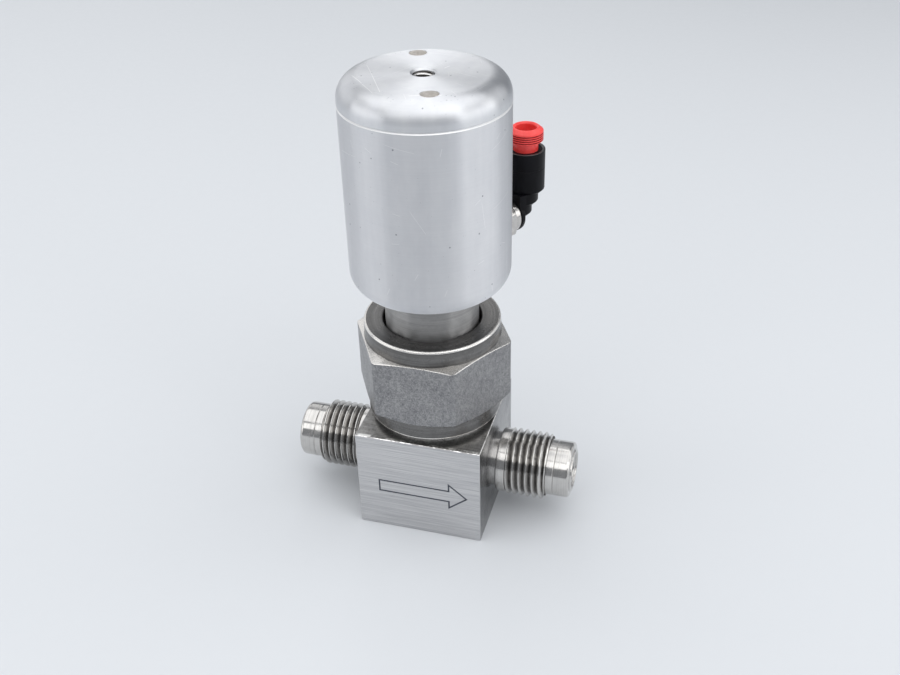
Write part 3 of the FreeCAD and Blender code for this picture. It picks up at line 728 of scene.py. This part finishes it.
# Painted shade: a dark copy of the nut's turned steel, for its collars, top and hole and the
# chamfers that face down
NUT_TURNED_SHADED = turned_steel("nut_turned_shaded_steel", (0.20, 0.196, 0.192), 0.28, 0.20, 0.006, dark=0.66)
NECK_TURNED = turned_steel("neck_turned_steel", (0.47, 0.465, 0.46), 0.38, 0.12, 0.003, sheen=0.97)
INNER_TURNED = turned_steel("inner_turned_steel", (0.64, 0.64, 0.64), 0.28, 0.15, 0.008)
PISTON_TURNED = turned_steel("piston_turned_aluminium", (0.74, 0.74, 0.75), 0.3, 0.16, 0.008)
BELLOWS_BRIGHT = turned_steel("bellows_bright_steel", (0.76, 0.73, 0.68), 0.22, 0.2, 0.004)
GASKET_DULL = turned_steel("gasket_dull_silver", (0.78, 0.78, 0.76), 0.4, 0.2, 0.006)
HOUSING_SATIN = satin_aluminium("housing_satin_aluminium", (0.64, 0.65, 0.677), (0.74, 0.748, 0.77),
                                (0.46, 0.54), 0.9, marked_top=False)
CAP_SATIN = satin_aluminium("cap_satin_aluminium", (0.625, 0.635, 0.662), (0.72, 0.73, 0.745),
                            (0.34, 0.40), 0.85, marked_top=True)
# Painted highlight: the seam chamfer is coloured near white, brighter than the housing's own
# aluminium, to stand in for the light it catches
HOUSING_EDGE_HIGHLIGHT = turned_steel("housing_edge_highlight", (0.95, 0.95, 0.95), 0.50, 0.16, 0.004, dark=0.92,
                            sheen=0.3)
HOLE_BRIGHT = drilled_aluminium()
CUT_THREAD = cut_thread()
NICKEL = nickel_plate()
RESIN = black_resin("elbow_black_resin", 0.38, 0.12)
RESIN_RIM = black_resin("elbow_rim_resin", 0.30, 1.0)
RESIN_DULL = black_resin("guide_black_resin", 0.7, 0.2)
RED = red_plastic("button_red_plastic", (0.88, 0.055, 0.050), (0.96, 0.085, 0.080))
# Painted shade: a darker copy of the button's red for the floors and sides of its grooves
RED_GROOVE_SHADE = red_plastic("button_groove_shaded_red", (0.36, 0.012, 0.012), (0.44, 0.02, 0.02))
ETCHED = etched_line()
RUBBER = plain("seal_black_rubber", 0.0, 0.12, (0.014, 0.014, 0.014), (0.035, 0.034, 0.034),
               (0.5, 0.7), 0.008)
POLYMER = plain("tip_white_polymer", 0.0, 0.3, (0.80, 0.77, 0.70), (0.88, 0.86, 0.81),
                (0.36, 0.5), 0.006)
WIRE = plain("spring_oiled_wire", 1.0, 0.3, (0.30, 0.30, 0.31), (0.50, 0.50, 0.51),
             (0.24, 0.42), 0.008, detail=5.0, roughness=0.65)


# Mesh building
def outline(*corners, steps=EDGE_STEPS):
    """Points (r, z) of a closed profile. A corner (r, z, edge) is rounded to that edge radius.

    A point just before and after each rounding keeps the long faces beside it evenly shaded."""
    points = []
    for k, corner in enumerate(corners):
        here = Vector(corner[:2])
        if len(corner) == 2:
            points.append(tuple(here))
            continue
        edge = corner[2]
        back = (Vector(corners[k - 1][:2]) - here).normalized()
        ahead = (Vector(corners[(k + 1) % len(corners)][:2]) - here).normalized()
        half = back.angle(ahead) / 2
        centre = here + (back + ahead).normalized() * (edge / math.sin(half))
        start = here + back * (edge / math.tan(half)) - centre
        end = here + ahead * (edge / math.tan(half)) - centre
        hold = min(HOLD_SHARE * edge, HOLD_MOST)
        points.append(tuple(centre + start + back * hold))
        for i in range(steps + 1):
            points.append(tuple(centre + start.slerp(end, i / steps) * edge))
        points.append(tuple(centre + end + ahead * hold))
    return points


def vertex(mesh, r, angle, z):
    """New vertex at a radius, an angle and a height."""
    return mesh.verts.new((MM * r * math.cos(angle), MM * r * math.sin(angle), MM * z))


def lathe(profile, place, segments=TURN, flats=None):
    """Turn a profile about local Z. With flats it becomes a hexagon of that size across them."""
    mesh = bmesh.new()
    turns = hexagon_turns() if flats else [2 * math.pi * k / segments for k in range(segments)]
    columns = []
    for angle in turns:
        reach = hexagon_reach(flats, angle) if flats else None
        columns.append([vertex(mesh, soft_minimum(r, reach, FLAT_BLEND) if flats else r, angle, z)
                        for r, z in profile])
    for j, column in enumerate(columns):
        beside = columns[(j + 1) % len(columns)]
        for i in range(len(profile)):
            k = (i + 1) % len(profile)
            mesh.faces.new((column[i], beside[i], beside[k], column[k]))
    bmesh.ops.remove_doubles(mesh, verts=mesh.verts, dist=WELD)
    bmesh.ops.recalc_face_normals(mesh, faces=mesh.faces)
    return mesh, place


def cylinder(r, low, high, place, segments):
    """Plain cylinder about local Z, to cut with."""
    return lathe(outline((0, low), (r, low), (r, high), (0, high)), place, segments)


def soft_minimum(a, b, width):
    """The smaller of two lengths, with a rounded change from one to the other."""
    share = max(width - abs(a - b), 0.0) / width
    return min(a, b) - share * share * width / 4


def hexagon_reach(flats, angle):
    """Reach of a hexagon's sides with a corner at angle 0, corners slightly rounded."""
    sector = math.radians(60)
    turn = angle % sector
    side = flats / 2 / math.cos(turn - sector / 2)
    corner = flats / math.sqrt(3)
    away = min(turn, sector - turn)
    return soft_minimum(side, corner - CORNER_CUT + away * corner * CORNER_SLOPE, CORNER_BLEND)


def hexagon_turns():
    """Angles that lie closer together near the six corners."""
    sector = sorted({*CORNER_TURNS, *(60 - o for o in CORNER_TURNS if o > 0), 30})
    return [math.radians(60 * k + o) for k in range(6) for o in sector]


def thread(start, end, crest_r, depth, pitch, place, lead_in=0.0, segments=SMALL_TURN,
           per_turn=THREAD_ROWS):
    """Helical ridge skin about local Z. Its crests fade into a chamfer at the far end."""
    mesh = bmesh.new()
    rows = int((end - start) / pitch * per_turn) + per_turn + 2
    columns = []
    for j in range(segments + 1):
        column = []
        for i in range(rows):
            along = start + pitch * ((i - per_turn) / per_turn + j / segments)
            share = 1 - abs(2 * (i % per_turn) / per_turn - 1)
            share = min(1.0, max(0.0, share * THREAD_STEEPNESS - THREAD_FLATTENING))
            z = min(max(along, start), end)
            r = crest_r - depth * (1 - share)
            if lead_in:
                r = min(r, crest_r - lead_in + (end - z))
            column.append(vertex(mesh, r, 2 * math.pi * j / segments, z))
        columns.append(column)
    for a, b in zip(columns, columns[1:]):
        for i in range(rows - 1):
            if abs(a[i].co.z - a[i + 1].co.z) + abs(b[i].co.z - b[i + 1].co.z) > WELD / 100:
                mesh.faces.new((a[i], b[i], b[i + 1], a[i + 1]))
    bmesh.ops.remove_doubles(mesh, verts=mesh.verts, dist=2 * WELD)
    loose = [v for v in mesh.verts if not v.link_faces]
    bmesh.ops.delete(mesh, geom=loose, context="VERTS")
    bmesh.ops.recalc_face_normals(mesh, faces=mesh.faces)
    return mesh, place


def box(low, high, edge):
    """Box between two corners with rounded edges."""
    mesh = bmesh.new()
    bmesh.ops.create_cube(mesh, size=1.0)
    size = Vector(high) - Vector(low)
    middle = (Vector(high) + Vector(low)) / 2
    bmesh.ops.scale(mesh, vec=size * MM, verts=mesh.verts)
    bmesh.ops.translate(mesh, vec=middle * MM, verts=mesh.verts)
    bmesh.ops.bevel(mesh, geom=mesh.edges[:], offset=edge * MM, segments=3, profile=0.6,
                    affect="EDGES")
    return mesh, UPRIGHT


def make(name, parts, material, body="valve", stands_for=(), sharp=SHARP, level=False):
    """One piece from mesh parts that share a place. It rides on a body and may replace nodes.

    Edges stay sharp from an angle in degrees. A level piece keeps the world's axes as its own,
    so that its box fits it."""
    data = bpy.data.meshes.new(name)
    place = parts[0][1]
    whole = bmesh.new()
    for mesh, _ in parts:
        held = bpy.data.meshes.new("held")
        mesh.to_mesh(held)
        whole.from_mesh(held)
        bpy.data.meshes.remove(held)
        mesh.free()
    whole.to_mesh(data)
    whole.free()
    if level:
        data.transform(place)
        place = UPRIGHT
    data.materials.append(material)
    data.polygons.foreach_set("use_smooth", [True] * len(data.polygons))
    data.set_sharp_from_angle(angle=math.radians(sharp))
    piece = new_object(name, data)
    piece.matrix_world = place
    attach(piece, body)
    if stands_for:
        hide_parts(*stands_for)
    return piece


def carve(piece, shapes, operation="DIFFERENCE"):
    """Cut shapes out of a piece, or with UNION join them to it, with exact edges."""
    for mesh, place in shapes:
        data = bpy.data.meshes.new("shape")
        mesh.to_mesh(data)
        mesh.free()
        tool = new_object("shape", data)
        tool.matrix_world = place
        change = piece.modifiers.new("carve", "BOOLEAN")
        change.operation = operation
        change.solver = "EXACT"
        change.object = tool
        bpy.context.view_layer.update()
        graph = bpy.context.evaluated_depsgraph_get()
        result = bpy.data.meshes.new_from_object(piece.evaluated_get(graph))
        piece.modifiers.clear()
        piece.data = result
        bpy.data.objects.remove(tool)
    piece.data.set_sharp_from_angle(angle=math.radians(SHARP_CUT))


def dress(piece, material, chosen):
    """Give another material to the faces that chosen(centre in millimetres, normal) picks."""
    piece.data.materials.append(material)
    for face in piece.data.polygons:
        if chosen(face.center / MM, face.normal):
            face.material_index = len(piece.data.materials) - 1


# Block, ends and boss
def threaded_end(place, name):
    """One end: neck, shoulder, thread, and the nose with its sealing bead."""
    core = lathe(outline(
        (FLOW_BORE_R, NECK_START), (NECK_R, NECK_START), (NECK_R, SHOULDER_START, 0.15),
        (SHOULDER_R, SHOULDER_START, 0.3), (SHOULDER_R, THREAD_START, 0.2),
        (THREAD_CORE_R, THREAD_START), (THREAD_CORE_R, THREAD_END - 0.4),
        (NOSE_R, THREAD_END - 0.2, 0.1), (NOSE_R, NOSE_GROOVE - NOSE_GROOVE_HALF, 0.04),
        (NOSE_R - NOSE_GROOVE_DEPTH, NOSE_GROOVE, 0.05),
        (NOSE_R, NOSE_GROOVE + NOSE_GROOVE_HALF, 0.04), (NOSE_R, NOSE_END, 0.7),
        (BEAD_MID_R + BEAD_HALF_FOOT, NOSE_END, 0.1),
        (BEAD_MID_R + BEAD_HALF_CROWN, NOSE_END + BEAD_RISE, 0.2),
        (BEAD_MID_R - BEAD_HALF_CROWN, NOSE_END + BEAD_RISE, 0.2),
        (BEAD_MID_R - BEAD_HALF_FOOT, NOSE_END, 0.1), (FLOW_BORE_R, NOSE_END, 0.25)), place)
    ridge = thread(THREAD_START, THREAD_END, THREAD_R, THREAD_DEPTH, THREAD_PITCH, place,
                   lead_in=THREAD_LEAD_IN)
    make(name, [core, ridge], ENDS_TURNED, stands_for=["valve_body"], sharp=50)


block = make("block", [box((-BLOCK_LENGTH / 2, BLOCK_FRONT, 0),
                           (BLOCK_LENGTH / 2, -BLOCK_FRONT, BLOCK_HEIGHT), BLOCK_EDGE)],
             BRUSHED, stands_for=["valve_body"], sharp=25)
dress(block, BLOCK_TOP, lambda at, normal: normal.z > 0.9)
# Sides that carry the ends get painted shade
dress(block, BLOCK_SIDE_SHADED, lambda at, normal: abs(normal.x) > 0.9)
# Upward chamfers: polish from handling and painted highlight
dress(block, EDGE_WEAR_AND_HIGHLIGHT, lambda at, normal: 0.2 < normal.z < 0.9)
threaded_end(OUTLET, "outlet_end")
threaded_end(INLET, "inlet_end")
make("boss", [lathe(outline(
    (CHAMBER_R, CHAMBER_FLOOR), (BOSS_R, CHAMBER_FLOOR), (BOSS_R, BOSS_TOP, 0.4),
    (CHAMBER_R, BOSS_TOP, 0.1)), UPRIGHT)],
    INNER_TURNED, stands_for=["valve_body"])


# Bonnet nut
def nut_chamfer(height, rise):
    """Points from the collar out to the hexagon's corners, where the height changes by a rise."""
    shares = [k / NUT_CHAMFER_STEPS for k in range(NUT_CHAMFER_STEPS + 1)]
    width = NUT_CORNER_R - NUT_COLLAR_R
    return [(NUT_COLLAR_R + width * share, height + rise * share) for share in shares]


nut = make("bonnet_nut_machined", [lathe(outline(
    (NUT_HOLE_R, BONNET_SHOULDER, 0.2), (BOSS_R + SCREW_GAP, BONNET_SHOULDER),
    (BOSS_R + SCREW_GAP, NUT_BOTTOM, 0.3), (NUT_COLLAR_R, NUT_BOTTOM, 0.45),
    *nut_chamfer(NUT_HEX_BOTTOM, NUT_LOWER_RISE),
    *[(NUT_CORNER_R, NUT_HEX_BOTTOM + NUT_LOWER_RISE + k) for k in range(1, NUT_FLAT_ROWS + 1)],
    *reversed(nut_chamfer(NUT_HEX_TOP, -NUT_TOP_FALL)),
    (NUT_COLLAR_R, NUT_TOP, 0.45), (NUT_HOLE_R, NUT_TOP, 0.3)), UPRIGHT, flats=NUT_FLATS)],
    MOTTLED, stands_for=["bonnet_nut"], sharp=40)
# Collars, top and hole: painted shade
dress(nut, NUT_TURNED_SHADED, lambda at, normal: at.xy.length < NUT_COLLAR_R + 0.03)
# Chamfers that face up: painted highlight
dress(nut, NUT_EDGE_HIGHLIGHT, lambda at, normal: at.xy.length > NUT_COLLAR_R + 0.05
      and normal.z > NUT_SLOPE)
# Chamfers that face down: painted shade
dress(nut, NUT_TURNED_SHADED, lambda at, normal: at.z < NUT_HEX_BOTTOM + NUT_LOWER_RISE
      and normal.z < -NUT_SLOPE)
# Rounded rims at the top and bottom: painted highlight
dress(nut, NUT_EDGE_HIGHLIGHT, lambda at, normal: at.xy.length > NUT_RIM_R
      and not NUT_BOTTOM + NUT_RIM_HEIGHT <= at.z <= NUT_TOP - NUT_RIM_HEIGHT)

# Bonnet
make("bonnet_turned", [lathe(outline(
    (BONNET_BORE_R, BONNET_BOTTOM), (FLANGE_R, BONNET_BOTTOM, 0.2),
    (FLANGE_R, BONNET_SHOULDER, 0.2), (BONNET_R, BONNET_SHOULDER), (BONNET_R, HOUSING_BOTTOM, 0.1),
    (SPIGOT_R, HOUSING_BOTTOM), (SPIGOT_R, HOUSING_FLOOR), (BONNET_BORE_R, HOUSING_FLOOR)),
    UPRIGHT)], NECK_TURNED, stands_for=["bonnet"])

# Housing with its spot face and port
housing = make("housing_turned", [lathe(outline(
    (SPIGOT_R + SCREW_GAP, HOUSING_BOTTOM), (HOUSING_R, HOUSING_BOTTOM, EDGE_R),
    (HOUSING_R, HOUSING_TOP - SEAM_EDGE), (HOUSING_R - SEAM_EDGE, HOUSING_TOP),
    (CAP_PLUG_R + SCREW_GAP, HOUSING_TOP), (CAP_PLUG_R + SCREW_GAP, CAP_PLUG_BOTTOM),
    (CYLINDER_R, CAP_PLUG_BOTTOM), (CYLINDER_R, HOUSING_FLOOR),
    (SPIGOT_R + SCREW_GAP, HOUSING_FLOOR), steps=BIG_EDGE_STEPS), UPRIGHT, BIG_TURN)],
    HOUSING_SATIN, stands_for=["housing"], sharp=30)
# Seam chamfer: painted highlight
dress(housing, HOUSING_EDGE_HIGHLIGHT, lambda at, normal: at.z > HOUSING_TOP - SEAM_EDGE
      and at.xy.length > CAP_PLUG_R + 0.3)
carve(housing, [cylinder(SPOT_FACE_R, PORT_FACE, PORT_CUT_END, PORT, SMALL_TURN),
                cylinder(STEM_R + SCREW_GAP, PORT_START, PORT_CUT_END, PORT, BORE_TURN)])


# Cap with vent and spanner holes
def spanner_hole(turn):
    """Hole with a drilled floor and a chamfered mouth, at a turn in degrees from the first one."""
    turned = Matrix.Rotation(math.radians(SPANNER_AZIMUTH + turn), 4, "Z")
    mouth_r = SPANNER_HOLE_R + SPANNER_MOUTH
    return lathe(outline(
        (0, CAP_TOP - SPANNER_DEPTH - SPANNER_DRILL_POINT),
        (SPANNER_HOLE_R, CAP_TOP - SPANNER_DEPTH), (SPANNER_HOLE_R, CAP_TOP - 0.08),
        (mouth_r, CAP_TOP + 0.06), (mouth_r, CAP_TOP + CUT_OVERRUN), (0, CAP_TOP + CUT_OVERRUN)),
        upright_at(turned, SPANNER_CIRCLE_R), HOLE_TURN)


def hole_near(at):
    """Whether a point in millimetres lies in one of the two spanner holes."""
    angle = math.radians(SPANNER_AZIMUTH)
    middle = SPANNER_CIRCLE_R * Vector((math.cos(angle), math.sin(angle)))
    distance = min((at.xy - middle).length, (at.xy + middle).length)
    return distance < SPANNER_HOLE_R + SPANNER_MARGIN


cap = make("cap_turned", [lathe(outline(
    (VENT_R, CAP_BOSS_BOTTOM), (CAP_BOSS_R, CAP_BOSS_BOTTOM), (CAP_BOSS_R, CAP_ROOF),
    (CAP_INNER_R, CAP_ROOF), (CAP_INNER_R, CAP_PLUG_BOTTOM), (CAP_PLUG_R, CAP_PLUG_BOTTOM),
    (CAP_PLUG_R, HOUSING_TOP), (HOUSING_R - SEAM_EDGE, HOUSING_TOP),
    (HOUSING_R - CAP_LIP_INSET, HOUSING_TOP + CAP_LIP_START),
    (HOUSING_R, HOUSING_TOP + CAP_LIP_END), (HOUSING_R, CAP_TOP, EDGE_R),
    (VENT_R + VENT_SINK, CAP_TOP, 0.08), (VENT_R, CAP_TOP - VENT_SINK, 0.05),
    steps=BIG_EDGE_STEPS), UPRIGHT, BIG_TURN)],
    CAP_SATIN, stands_for=["cap"], sharp=30)
carve(cap, [spanner_hole(0), spanner_hole(180)])
dress(cap, HOLE_BRIGHT, lambda at, normal:
      CAP_TOP - SPANNER_DEPTH - 0.8 < at.z < CAP_TOP - 0.1 and hole_near(at))
make("vent_thread", [thread(VENT_THREAD_START, CAP_TOP - VENT_SINK - 0.1, VENT_R,
                            VENT_THREAD_DEPTH, VENT_PITCH, UPRIGHT, segments=BORE_TURN,
                            per_turn=VENT_THREAD_ROWS)], CUT_THREAD)

# Air fitting: plated stem with its hexagon
make("fitting_stem_plated", [
    lathe(outline(
        (AIR_BORE_R, CYLINDER_R), (STEM_R, CYLINDER_R), (STEM_R, HEX_END), (COLLAR_R, HEX_END),
        (COLLAR_R, COLLAR_END, 0.25), (JOURNAL_R, COLLAR_END), (JOURNAL_R, JOURNAL_END, 0.2),
        (AIR_BORE_R, JOURNAL_END, 0.1)), PORT, SMALL_TURN),
    lathe(outline(
        (HEX_BORE_R, HEX_START), (HEX_FACE_R, HEX_START), (HEX_CORNER_R, HEX_START + HEX_CHAMFER),
        (HEX_CORNER_R, HEX_START + 1.2), (HEX_CORNER_R, HEX_END - 1.0),
        (HEX_CORNER_R, HEX_END - HEX_CHAMFER), (HEX_CORNER_R - 0.2, HEX_END - 0.16),
        (HEX_FACE_R, HEX_END), (HEX_BORE_R, HEX_END)), PORT, flats=HEX_FLATS)],
    NICKEL, stands_for=["fitting_stem"])


# Moulded elbow: upright column, three stepped columns beside it and the leg on the journal
def elbow_column(step):
    """Column number step, counted from the socket towards the actuator."""
    outer_r = ELBOW_R - step * STEP_SHRINK
    bottom = SOCKET_BOTTOM - step * STEP_DROP
    if step:
        top = SOCKET_BOTTOM + ELBOW_CHAMFER
        upper = [(outer_r, top), (0, top)]
    else:
        upper = [(outer_r, ELBOW_SEAM - ELBOW_SEAM_HALF),
                 (outer_r - ELBOW_SEAM_DEPTH, ELBOW_SEAM),
                 (outer_r, ELBOW_SEAM + ELBOW_SEAM_HALF), (outer_r, ELBOW_RIM, 0.25),
                 (0, ELBOW_RIM)]
    return lathe(outline((0, bottom), (outer_r - ELBOW_CHAMFER, bottom, 0.2),
                         (outer_r, bottom + ELBOW_CHAMFER, 0.2), *upper),
                 upright_at(TO_PORT, ELBOW_REACH - step * STEP_SHIFT), SMALL_TURN)


elbow = make("elbow_moulded", [elbow_column(0)], RESIN, body="elbow",
             stands_for=["elbow_body"], level=True)
carve(elbow, [elbow_column(k) for k in range(1, STEP_COUNT + 1)] + [
    lathe(outline((0, LEG_START), (LEG_R, LEG_START, 0.2), (LEG_R, LEG_END - ELBOW_CHAMFER, 0.2),
                  (LEG_R - ELBOW_CHAMFER, LEG_END, 0.2), (0, LEG_END)), PORT, SMALL_TURN)],
      "UNION")
carve(elbow, [
    cylinder(LEG_CLEAR_R, HEX_START, LEG_START, PORT, BORE_TURN),
    cylinder(JOURNAL_R + JOURNAL_GAP, LEG_START - CUT_OVERRUN, JOURNAL_END + JOURNAL_GAP, PORT,
             HOLE_TURN),
    cylinder(AIR_BORE_R, LEG_START, AIR_WAY_REACH, PORT, AIR_WAY_TURN),
    cylinder(AIR_BORE_R, PORT_HEIGHT, TUBE_STOP + CUT_OVERRUN, upright_at(TO_PORT, AIR_WAY_REACH),
             AIR_WAY_TURN),
    lathe(outline((0, TUBE_STOP), (TUBE_R, TUBE_STOP), (TUBE_R, POCKET_BOTTOM),
                  (POCKET_R, POCKET_BOTTOM), (POCKET_R, GRAB_BOTTOM), (SOCKET_R, GRAB_BOTTOM),
                  (SOCKET_R, ELBOW_RIM - ELBOW_RIM_CHAMFER),
                  (SOCKET_R + ELBOW_RIM_CHAMFER, ELBOW_RIM),
                  (SOCKET_R + ELBOW_RIM_CHAMFER, ELBOW_RIM + CUT_OVERRUN),
                  (0, ELBOW_RIM + CUT_OVERRUN)), SOCKET, SMALL_TURN)])
dress(elbow, RESIN_RIM, lambda at, normal: at.z > ELBOW_RIM - 0.3 and normal.z > 0.5)

# Release button with fine grooves
grooves = []
for k in range(GROOVE_COUNT):
    low = GROOVE_START + k * GROOVE_PITCH
    high = low + GROOVE_WIDTH
    floor_r = BUTTON_HEAD_R - GROOVE_DEPTH
    grooves += [(BUTTON_HEAD_R, low), (floor_r, low + GROOVE_SLOPE), (floor_r, high - GROOVE_SLOPE),
                (BUTTON_HEAD_R, high)]
button = make("release_button_moulded", [lathe(outline(
    (BUTTON_BORE_R, BUTTON_BOTTOM), (BUTTON_NECK_R, BUTTON_BOTTOM),
    (BUTTON_NECK_R, BUTTON_HEAD_BOTTOM - 0.2, 0.1), (BUTTON_HEAD_R - 0.15, BUTTON_HEAD_BOTTOM, 0.1),
    (BUTTON_HEAD_R, BUTTON_HEAD_BOTTOM + 0.12), *grooves,
    (BUTTON_HEAD_R, BUTTON_TOP - 0.75, 0.35), (BUTTON_CROWN_R + 0.12, BUTTON_TOP - 0.12, 0.25),
    (BUTTON_CROWN_R - 0.1, BUTTON_TOP, 0.12), (BUTTON_BORE_R + 0.3, BUTTON_TOP, 0.1),
    (BUTTON_BORE_R, BUTTON_TOP - 0.35, 0.1)), SOCKET, SMALL_TURN)],
    RED, body="button", stands_for=["release_button"], sharp=40, level=True)
socket_middle = SOCKET.translation.xy / MM
# Grooves: painted shade
dress(button, RED_GROOVE_SHADE, lambda at, normal: BUTTON_HEAD_BOTTOM + 0.2 < at.z < BUTTON_TOP - 0.9
      and BUTTON_HEAD_R - 0.25 < (at.xy - socket_middle).length < BUTTON_HEAD_R - 0.02)


# Flow arrow: a thin dark outline on the front face
def arrow():
    """Outline of the arrow as a band of one width, following its corners."""
    low, high = ARROW_MIDDLE - ARROW_HALF_SHAFT, ARROW_MIDDLE + ARROW_HALF_SHAFT
    corners = [(ARROW_TAIL, low), (ARROW_BARB, low), (ARROW_BARB, ARROW_MIDDLE - ARROW_HALF_HEAD),
               (ARROW_TIP, ARROW_MIDDLE), (ARROW_BARB, ARROW_MIDDLE + ARROW_HALF_HEAD),
               (ARROW_BARB, high), (ARROW_TAIL, high)]
    path = [Vector(p) for p in corners]
    mesh = bmesh.new()
    front = BLOCK_FRONT - ARROW_RISE
    pairs = []
    for k, here in enumerate(path):
        ahead = (path[(k + 1) % len(path)] - here).normalized()
        back = (here - path[k - 1]).normalized()
        normal = Vector((-(ahead + back).y, (ahead + back).x)).normalized()
        reach = ARROW_LINE / 2 / normal.dot(Vector((-back.y, back.x)))
        sides = (here + normal * reach, here - normal * reach)
        pairs.append([mesh.verts.new((MM * p.x, MM * front, MM * p.y)) for p in sides])
    for k, pair in enumerate(pairs):
        after = pairs[(k + 1) % len(pairs)]
        mesh.faces.new((pair[0], after[0], after[1], pair[1]))
    bmesh.ops.subdivide_edges(mesh, edges=mesh.edges, cuts=3, use_grid_fill=True)
    bmesh.ops.solidify(mesh, geom=mesh.faces[:], thickness=ARROW_RISE * MM)
    bmesh.ops.recalc_face_normals(mesh, faces=mesh.faces)
    return mesh, UPRIGHT


make("flow_arrow", [arrow()], ETCHED)


# Bellows and spring: copies of the CAD pieces with materials of their own
def stretching(node, material):
    """Copy of a CAD piece with a material of its own, in place of the CAD piece, which is hidden.
    """
    shape = frame["nodes"][node]
    data = shape.data.copy()
    data.materials.clear()
    data.materials.append(material)
    piece = new_object(node + "_stretching", data)
    piece.matrix_world = shape.matrix_world
    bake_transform(piece)
    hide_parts(node)


stretching("bellows", BELLOWS_BRIGHT)
stretching("return_spring", WIRE)

# Materials of the CAD pieces that stay as they are
for material, nodes in (
        (GASKET_DULL, ["gasket"]), (POLYMER, ["stem_tip"]), (PISTON_TURNED, ["piston"]),
        (INNER_TURNED, ["bellows_flange", "tip_holder", "stem", "piston_nut", "grab_ring"]),
        (RUBBER, ["stem_o_ring", "neck_o_ring", "piston_o_ring", "fitting_washer",
                  "swivel_o_ring", "tube_seal"]), (RESIN_DULL, ["guide_ring"])):
    for node in nodes:
        node_materials = frame["nodes"][node].data.materials
        node_materials.clear()
        node_materials.append(material)


# Floor, world and lamps
def floor():
    """Pale plane just below the part."""
    mesh = bmesh.new()
    bmesh.ops.create_grid(mesh, x_segments=1, y_segments=1, size=FLOOR_SIZE)
    data = bpy.data.meshes.new("floor")
    mesh.to_mesh(data)
    mesh.free()
    s = Surface("floor_pale", metallic=0.0)
    s.set("Base Color", FLOOR_COLOUR)
    s.set("Roughness", s.remap(s.noise(s.place(3)), 0.3, 0.7, 0.62, 0.78))
    data.materials.append(s.material)
    plane = new_object("floor", data)
    plane.location.z = -FLOOR_DROP


def world():
    """Even soft light from all round."""
    made = bpy.data.worlds.new("studio")
    bpy.context.scene.world = made
    made.use_nodes = True
    backdrop = made.node_tree.nodes["Background"]
    backdrop.inputs["Color"].default_value = SKY_COLOUR
    backdrop.inputs["Strength"].default_value = SKY_STRENGTH


def lamp(name, place, target, size, power):
    """Rectangular lamp that faces a target."""
    data = bpy.data.lights.new(name, "AREA")
    data.shape = "RECTANGLE"
    data.size, data.size_y = size
    data.energy = power
    made = new_object(name, data)
    made.location = place
    back = (Vector(place) - Vector(target)).normalized()
    made.rotation_mode = "QUATERNION"
    made.rotation_quaternion = (-back).to_track_quat("-Z", "Y")


floor()
world()
for values in LAMPS:
    lamp(*values)

bpy.context.scene.view_settings.view_transform = "Standard"
